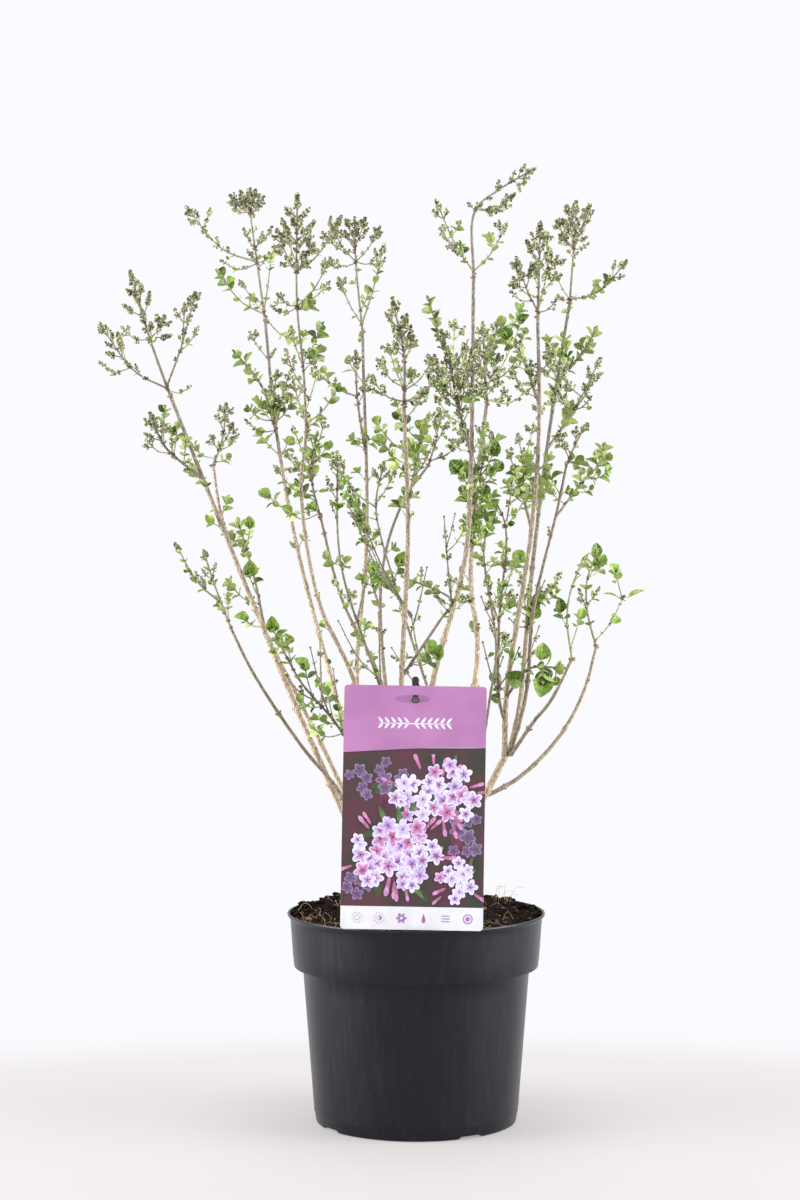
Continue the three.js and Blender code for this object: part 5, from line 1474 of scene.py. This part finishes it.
# The card and its inks: name, two tones and the grain of their mottling.
INKS = (("card_white", (188, 188, 192), (197, 197, 201), 12),
        ("print_mauve", (145, 97, 141), (157, 107, 151), 40),
        # print_mauve_shade prints the pictograms, and also paints the shade round the eye.
        ("print_mauve_shade", (128, 85, 126), (138, 93, 136), 20),
        ("print_night", (40, 44, 30), (74, 34, 50), 16),
        ("print_moss", (36, 46, 28), (60, 74, 40), 9),
        ("print_wine", (62, 28, 44), (98, 44, 68), 9),
        ("print_lilac", (164, 140, 186), (186, 164, 206), 3),
        ("print_pink", (164, 106, 150), (190, 136, 176), 3),
        ("print_white", (186, 184, 210), (208, 206, 226), 3),
        ("print_violet", (128, 88, 146), (152, 110, 166), 3),
        ("print_rose", (138, 74, 112), (164, 98, 138), 3),
        ("print_leaf", (56, 76, 42), (84, 104, 60), 5),
        ("print_lavender", (176, 164, 206), (198, 188, 220), 3),
        ("print_dim", (112, 96, 132), (136, 118, 154), 4),
        ("print_dusk", (84, 62, 92), (104, 78, 112), 4))
(CARD, MAUVE, MAUVE_SHADE, NIGHT, MOSS, WINE, LILAC, PINK, WHITE, VIOLET, ROSE, STEM, LAVENDER, DIM,
 DUSK) = range(len(INKS))
# Clusters of the picture: middle across and up, half its width and height, blossoms, their size.
FAR_CLUSTERS = ((-26, 106, 24, 14, 12, 6), (36, 66, 13, 20, 9, 6), (-40, 34, 9, 14, 6, 5.5))
NEAR_CLUSTERS = ((16, 97, 33, 22, 38, 7.4), (-12, 54, 33, 26, 52, 7.8), (32, 34, 15, 15, 13, 6.6))
PICTURE_SEED = 5
BLURS = 12  # dark leaves of the picture's ground
LAYER = 0.02  # how far each print layer stands before the one below it
BAND, PAINTED_EYE_SHADE, BAND_WHITE = 42, 42.3, 43  # layers of the heading, before all of the picture; the second is the layer of the painted shade round the eye
# A petal's edge, its middle and the streak at its foot.
PETALS = ((WHITE, LAVENDER, VIOLET), (LAVENDER, LILAC, VIOLET), (WHITE, LILAC, ROSE), (LAVENDER, PINK, ROSE),
          (WHITE, LAVENDER, LILAC))


class Print:
    """The picture side of the label: flat shapes in layers on the card."""

    def __init__(self):
        outline = rounded(LABEL.width, 0, LABEL.height, LABEL.corner)
        self.meshes = [(*plate(outline, -LABEL.thick, 0), CARD)]
        self.level = 1

    def shape(self, outline, look, level=None):
        front = -LABEL.thick - LAYER * (self.level if level is None else level)
        self.meshes.append((*plate(self.clipped(outline), front, -LABEL.thick + 0.1), look))

    def clipped(self, outline):
        edge = LABEL.width / 2 - 0.05
        return [(min(max(x, -edge), edge), z) for x, z in outline]

    def blossom(self, x, z, size, turned, tones, petals=5):
        """A generic open blossom of round petals, paler to their edges, with a small heart."""
        edge, middle, streak = tones
        for number in range(petals):
            angle = turned + 2 * math.pi * number / petals
            self.shape(oval(x, z, size, size * 0.7, angle, sides=10), edge)
            self.shape(oval(x, z, size * 0.84, size * 0.5, angle, sides=8), middle, self.level + 0.1)
            self.shape(oval(x, z, size * 0.5, size * 0.18, angle, sides=6), streak, self.level + 0.2)
        self.shape(oval(x - size * 0.1, z, size * 0.2, size * 0.2, 0, sides=8), WINE, self.level + 0.3)
        self.level += 0.32


def picture(card):
    """A made-up picture: round five-petalled blossoms along two arcs, over dark blurred leaves."""
    draw = seeded(PICTURE_SEED)
    low, high, half = LABEL.footer, LABEL.picture, LABEL.width / 2

    def inside(outline):
        return [(x, min(max(z, low), high - 0.5)) for x, z in outline]

    top = high + LABEL.rise
    card.shape([(-half, low), (half, low), (half, top), (0, high + LABEL.rise * 0.8), (-half, high)], NIGHT)
    card.level = 2
    for number in range(BLURS):
        x, z = (draw() - 0.5) * 96, low + 4 + draw() * (high - low - 14)
        card.shape(inside(oval(x, z, 20 + 12 * draw(), 5 + 6 * draw(), draw() * 6.3, sides=16, pinch=0.4)),
                   MOSS if number % 3 else WINE, 2 + 0.1 * number)
    card.level = 4
    for clusters, near in ((FAR_CLUSTERS, False), (NEAR_CLUSTERS, True)):
        for middle_x, middle_z, wide, tall, count, largest in clusters:
            for number in range(count):
                out, turned = math.sqrt((number + 0.5) / count), 2.4 * number + 0.6 * draw()
                size = largest * (1.05 - 0.3 * out) * (0.8 + 0.4 * draw())
                ahead, up = math.cos(turned), math.sin(turned)
                x = min(max(middle_x + wide * out * ahead, size - half), half - size)
                z = min(max(middle_z + tall * out * up, low + size), high - size - 1)
                if not near:
                    card.blossom(x, z, size, draw() * 6.3, (DIM, DUSK, DUSK))
                elif draw() < 0.5 * out:
                    bud = oval(x + size * ahead, z + size * up, size * 0.9, size * 0.5, turned, sides=8)
                    card.shape(inside(oval(x, z, size * 1.9, size * 0.4, turned, sides=8)), ROSE)
                    card.shape(inside(bud), PINK, card.level + 0.1)
                    card.level += 0.25
                else:
                    if number % 4 == 0:
                        leaf = oval(x, z, size * 2.2, size * 0.8, turned + 0.5 * draw(), pinch=0.5)
                        card.shape(inside(leaf), STEM, card.level - 0.1)
                    card.blossom(x, z, size, draw() * 6.3, PETALS[int(len(PETALS) * draw())])


def heading(card):
    """The mauve band above the picture, with a plain leafy ornament and a painted shade round the eye."""
    half, low, top = LABEL.width / 2, LABEL.picture, LABEL.height
    outline = [(half, low + LABEL.rise)]
    outline += [point for point in rounded(LABEL.width, 40, top, LABEL.corner) if point[1] > 100]
    outline += [(-half, low)]
    outline += [(-half + LABEL.width * s, low + LABEL.rise * math.sin(s * math.pi / 2) * 1.12)
                for s in (0.15, 0.3, 0.45, 0.6, 0.75, 0.9)]
    card.shape(outline, MAUVE, BAND)
    # A soft darker mauve lens round the eye: painted shade, not print.
    card.shape(oval(-15, LABEL.eye, 26, 6, 0, sides=24), MAUVE_SHADE, PAINTED_EYE_SHADE)
    middle = (low + LABEL.rise + LABEL.eye) / 2
    card.shape(oval(-27, middle - 0.4, 54, 0.8, 0, sides=24), WHITE, BAND_WHITE)
    for number in range(-5, 6):
        for side in (1, -1):
            angle = side * 0.9 if number >= 0 else math.pi - side * 0.9
            card.shape(oval(number * 4.6, middle, 5.2, 2.1, angle, pinch=0.4), WHITE, BAND_WHITE)


def footer(card):
    """Plain garden pictograms in a row: sun, half sun, blossom, drop, rows and ring."""
    z = LABEL.footer / 2
    spots = [-39 + 15.8 * number for number in range(6)]
    card.level = 1
    for x in spots[:2]:
        for angle in turns(12):
            ray = oval(x + 2.6 * math.cos(angle), z + 2.6 * math.sin(angle), 2.0, 0.5, angle, sides=6)
            card.shape(ray, MAUVE_SHADE)
        card.shape(oval(x - 1.9, z, 3.8, 3.8, 0, sides=18), MAUVE_SHADE)
    card.shape(oval(spots[0] - 1.5, z, 3.0, 3.0, 0, sides=18), CARD, 1.5)
    left_half = np.linspace(1.57, 4.71, 10)
    card.shape([(spots[1] + 1.5 * math.cos(a), z + 1.5 * math.sin(a)) for a in left_half], CARD, 1.5)
    for angle in turns(6):
        card.shape(oval(spots[2], z, 4.0, 2.2, angle, sides=10), VIOLET)
    card.shape(oval(spots[2] - 1, z, 2.0, 2.0, 0), CARD, 1.5)
    card.shape(oval(spots[3], z - 3.4, 7, 4.4, math.pi / 2, pinch=0.9), MAUVE_SHADE)
    for row in (z - 2, z, z + 2):
        bar = [(spots[4] + x, row + up) for x, up in ((-3, -0.4), (3, -0.4), (3, 0.4), (-3, 0.4))]
        card.shape(bar, VIOLET)
    for size, look, level in ((7.2, VIOLET, 1), (5.4, CARD, 1.4), (3.6, VIOLET, 1.8)):
        card.shape(oval(spots[5] - size / 2, z, size, size, 0, sides=24), look, level)


def make_label():
    card = Print()
    picture(card)
    heading(card)
    footer(card)
    points, faces, looks = joined(card.meshes)
    matrix = label_matrix()
    points = points @ matrix[:3, :3].T + matrix[:3, 3]
    materials = [print_material(*ink) for ink in INKS]
    piece = make_mesh("label_card", points, faces, looks, materials, sharp=40)
    keep(piece, "label_print", ["label_board"])


def stake_blade(eye):
    """A flat moulded stake with a neck, a round knob and a rib down its back."""
    side, front, back = STAKE.width / 2, STAKE.front, STAKE.front + STAKE.thick
    knob, shoulder, bevel = STAKE.top - STAKE.knob, STAKE.shoulder, STAKE.bevel
    half = [(0, STAKE.foot), (side, STAKE.foot + STAKE.point), (side, shoulder), (STAKE.neck, shoulder + 4),
            (STAKE.neck, knob - 2.2)]
    half += [(STAKE.knob * math.cos(a), knob + STAKE.knob * math.sin(a))
             for a in np.linspace(-0.7, math.pi / 2, 8)]

    def strip(inset):
        right = [(max(x - inset, 0), z - (inset if z > knob else 0)) for x, z in half]
        return [(eye[0] + x, z) for x, z in right] + [(eye[0] - x, z) for x, z in right[-2:0:-1]]

    rings = [np.insert(strip(inset), 1, depth, axis=1) for inset, depth in (
        (bevel, back), (0, back - bevel), (0, front + bevel), (bevel, front))]
    ends = [[eye[0], depth, shoulder - 60] for depth in (back, front)]
    rib_foot, rib_top = STAKE.foot + 16, shoulder - 4
    rib = [(eye[0] + x, z) for x, z in ((-0.8, rib_foot), (0.8, rib_foot), (0.8, rib_top), (-0.8, rib_top))]
    return [(np.vstack([*rings, ends]), ring_faces(len(rings), len(rings[0])), 0),
            (*plate(rib, back + 0.9, back - 0.3), 0)]


def stake_rivet(eye):
    """The peg through the card's eye, with its worn, dished cap."""
    foot, cap, rim = STAKE.front + 0.6, eye[1] - LABEL.thick / 2 - 0.3, STAKE.rivet
    face = cap - STAKE.rivet_thick
    profile = [(foot, STAKE.peg), (cap + 0.02, STAKE.peg), (cap, rim - 0.2), (cap - 0.2, rim),
               (face + 0.35, rim), (face + 0.08, rim - 0.3), (face, rim - 0.7), (face + 0.12, rim - 1),
               (face + 0.5, rim - 1.2), (face + 0.5, rim - 1.6), (face + 0.2, rim - 1.8),
               (face + 0.2, rim - 2.4)]
    worn = [0, 0, 0, 0, 0, 0, 1, 0, 0, 1, 1]  # the bands of the profile that are rubbed
    sides = STAKE.rivet_sides
    turn = turns(sides)
    rings = [np.stack([eye[0] + radius * np.cos(turn), np.full(sides, y), eye[2] + radius * np.sin(turn)], 1)
             for y, radius in profile]
    ends = [[eye[0], foot, eye[2]], [eye[0], face + 0.2, eye[2]]]
    looks = np.concatenate([np.repeat(worn, 2 * sides), np.full(sides, 0), np.full(sides, 1)])
    return np.vstack([*rings, ends]), ring_faces(len(profile), sides), looks


def make_stake():
    eye = (label_matrix() @ np.array([0, -LABEL.thick / 2, LABEL.eye, 1]))[:3]
    materials = [mottled("stake_plastic", (8, 8, 12), (16, 16, 22), 2.0, 0.24, relief=0.1, depth=0.05,
                         specular=0.6),
                 mottled("rivet_worn", (58, 48, 60), (84, 70, 86), 1.0, 0.4, relief=0.1, depth=0.05)]
    meshes = joined([*stake_blade(eye), stake_rivet(eye)])
    piece = make_mesh("stake_and_rivet", *meshes, materials, sharp=40)
    keep(piece, "stake_plastic", ["label_stake"])


# ---- the studio ------------------------------------------------------------------------------
FLOOR_RINGS = (1, 300, 1200, 9000)
FLOOR_DROP = 0.4  # the floor lies this far under the pot
FLOOR_SHIFT, FLOOR_OVAL = (0, 0.15, 0), (0.7, 1, 1)  # where the paper lies and how it is stretched
PAINTED_CONTACT_SHADE = (0.36, 0.53, 0.08, 0.21)  # the glow's share near the pot and further out, and these distances; the smaller share close to the pot paints a soft contact shade on the floor
FADE = (0.37, 0.53)  # the distances in metres between which the paper fades into the glow
LIT_SPOT = (0, 0, 330)
# Name, place, size in metres and power in watts.
SOFTBOXES = (("softbox_left", (-1500, -350, 700), (1.2, 1.5), 66),
             ("softbox_right", (1500, -350, 700), (1.2, 1.5), 66),
             ("softbox_top", (0, 900, 1900), (1.4, 1.2), 20))


def floor_material(backdrop):
    """Paper that fades into the glow of the backdrop, with a painted contact shade: less glow close round the
    pot.
    """
    finish = Finish("floor", 1)
    finish.nodes.remove(finish.shader)

    def distance(place):
        node = finish.nodes.new("ShaderNodeVectorMath")
        node.operation = "LENGTH"
        finish.link(place, node.inputs[0])
        return node.outputs["Value"]

    oval_place = finish.node("ShaderNodeMapping", Vector=finish.place, Location=FLOOR_SHIFT,
                             Scale=FLOOR_OVAL)
    # Painted contact shade: the glow's share is smaller close to the pot, so the floor is darker there.
    contact_shade_share = finish.spread(distance(finish.place), *PAINTED_CONTACT_SHADE, smooth=True)
    fade = finish.spread(distance(oval_place.outputs["Vector"]), contact_shade_share, 1, *FADE, smooth=True)
    paper = finish.node("ShaderNodeBsdfDiffuse", Color=linear((150, 144, 140)))
    glow = finish.node("ShaderNodeEmission", Color=backdrop)
    mixed = finish.nodes.new("ShaderNodeMixShader")
    for source, socket in zip((fade, paper.outputs[0], glow.outputs[0]), mixed.inputs):
        finish.link(source, socket)
    finish.link(mixed.outputs[0], finish.nodes["Material Output"].inputs["Surface"])
    return finish.material


def make_studio():
    """A pale floor under the white of the backdrop, and soft light from all round."""
    backdrop = linear((251, 251, 255))
    scene = bpy.context.scene
    world = bpy.data.worlds.new("studio")
    world.use_nodes = True
    world.node_tree.nodes["Background"].inputs["Color"].default_value = backdrop
    scene.world = world

    sides = 96
    turn = turns(sides)
    rings = [np.stack([r * np.cos(turn), r * np.sin(turn), 0 * turn - FLOOR_DROP], 1) for r in FLOOR_RINGS]
    points = np.vstack([*rings, [[0, 0, -FLOOR_DROP]]])
    faces = ring_faces(len(rings), sides)[:-sides, ::-1]
    floor = make_mesh("studio_floor", points, faces, 0, [floor_material(backdrop)])

    for name, spot, size, power in SOFTBOXES:
        data = bpy.data.lights.new(name, "AREA")
        data.shape = "RECTANGLE"
        data.size, data.size_y = size
        data.energy = power
        lamp = bpy.data.objects.new(name, data)
        lamp.location = Vector(spot) * MM
        lamp.rotation_euler = (Vector(LIT_SPOT) - Vector(spot)).to_track_quat("-Z", "Y").to_euler()
        scene.collection.objects.link(lamp)
    scene.view_settings.view_transform = "Standard"


make_camera()
make_wood()
make_masses()
make_pot()
make_soil()
make_label()
make_stake()
make_studio()
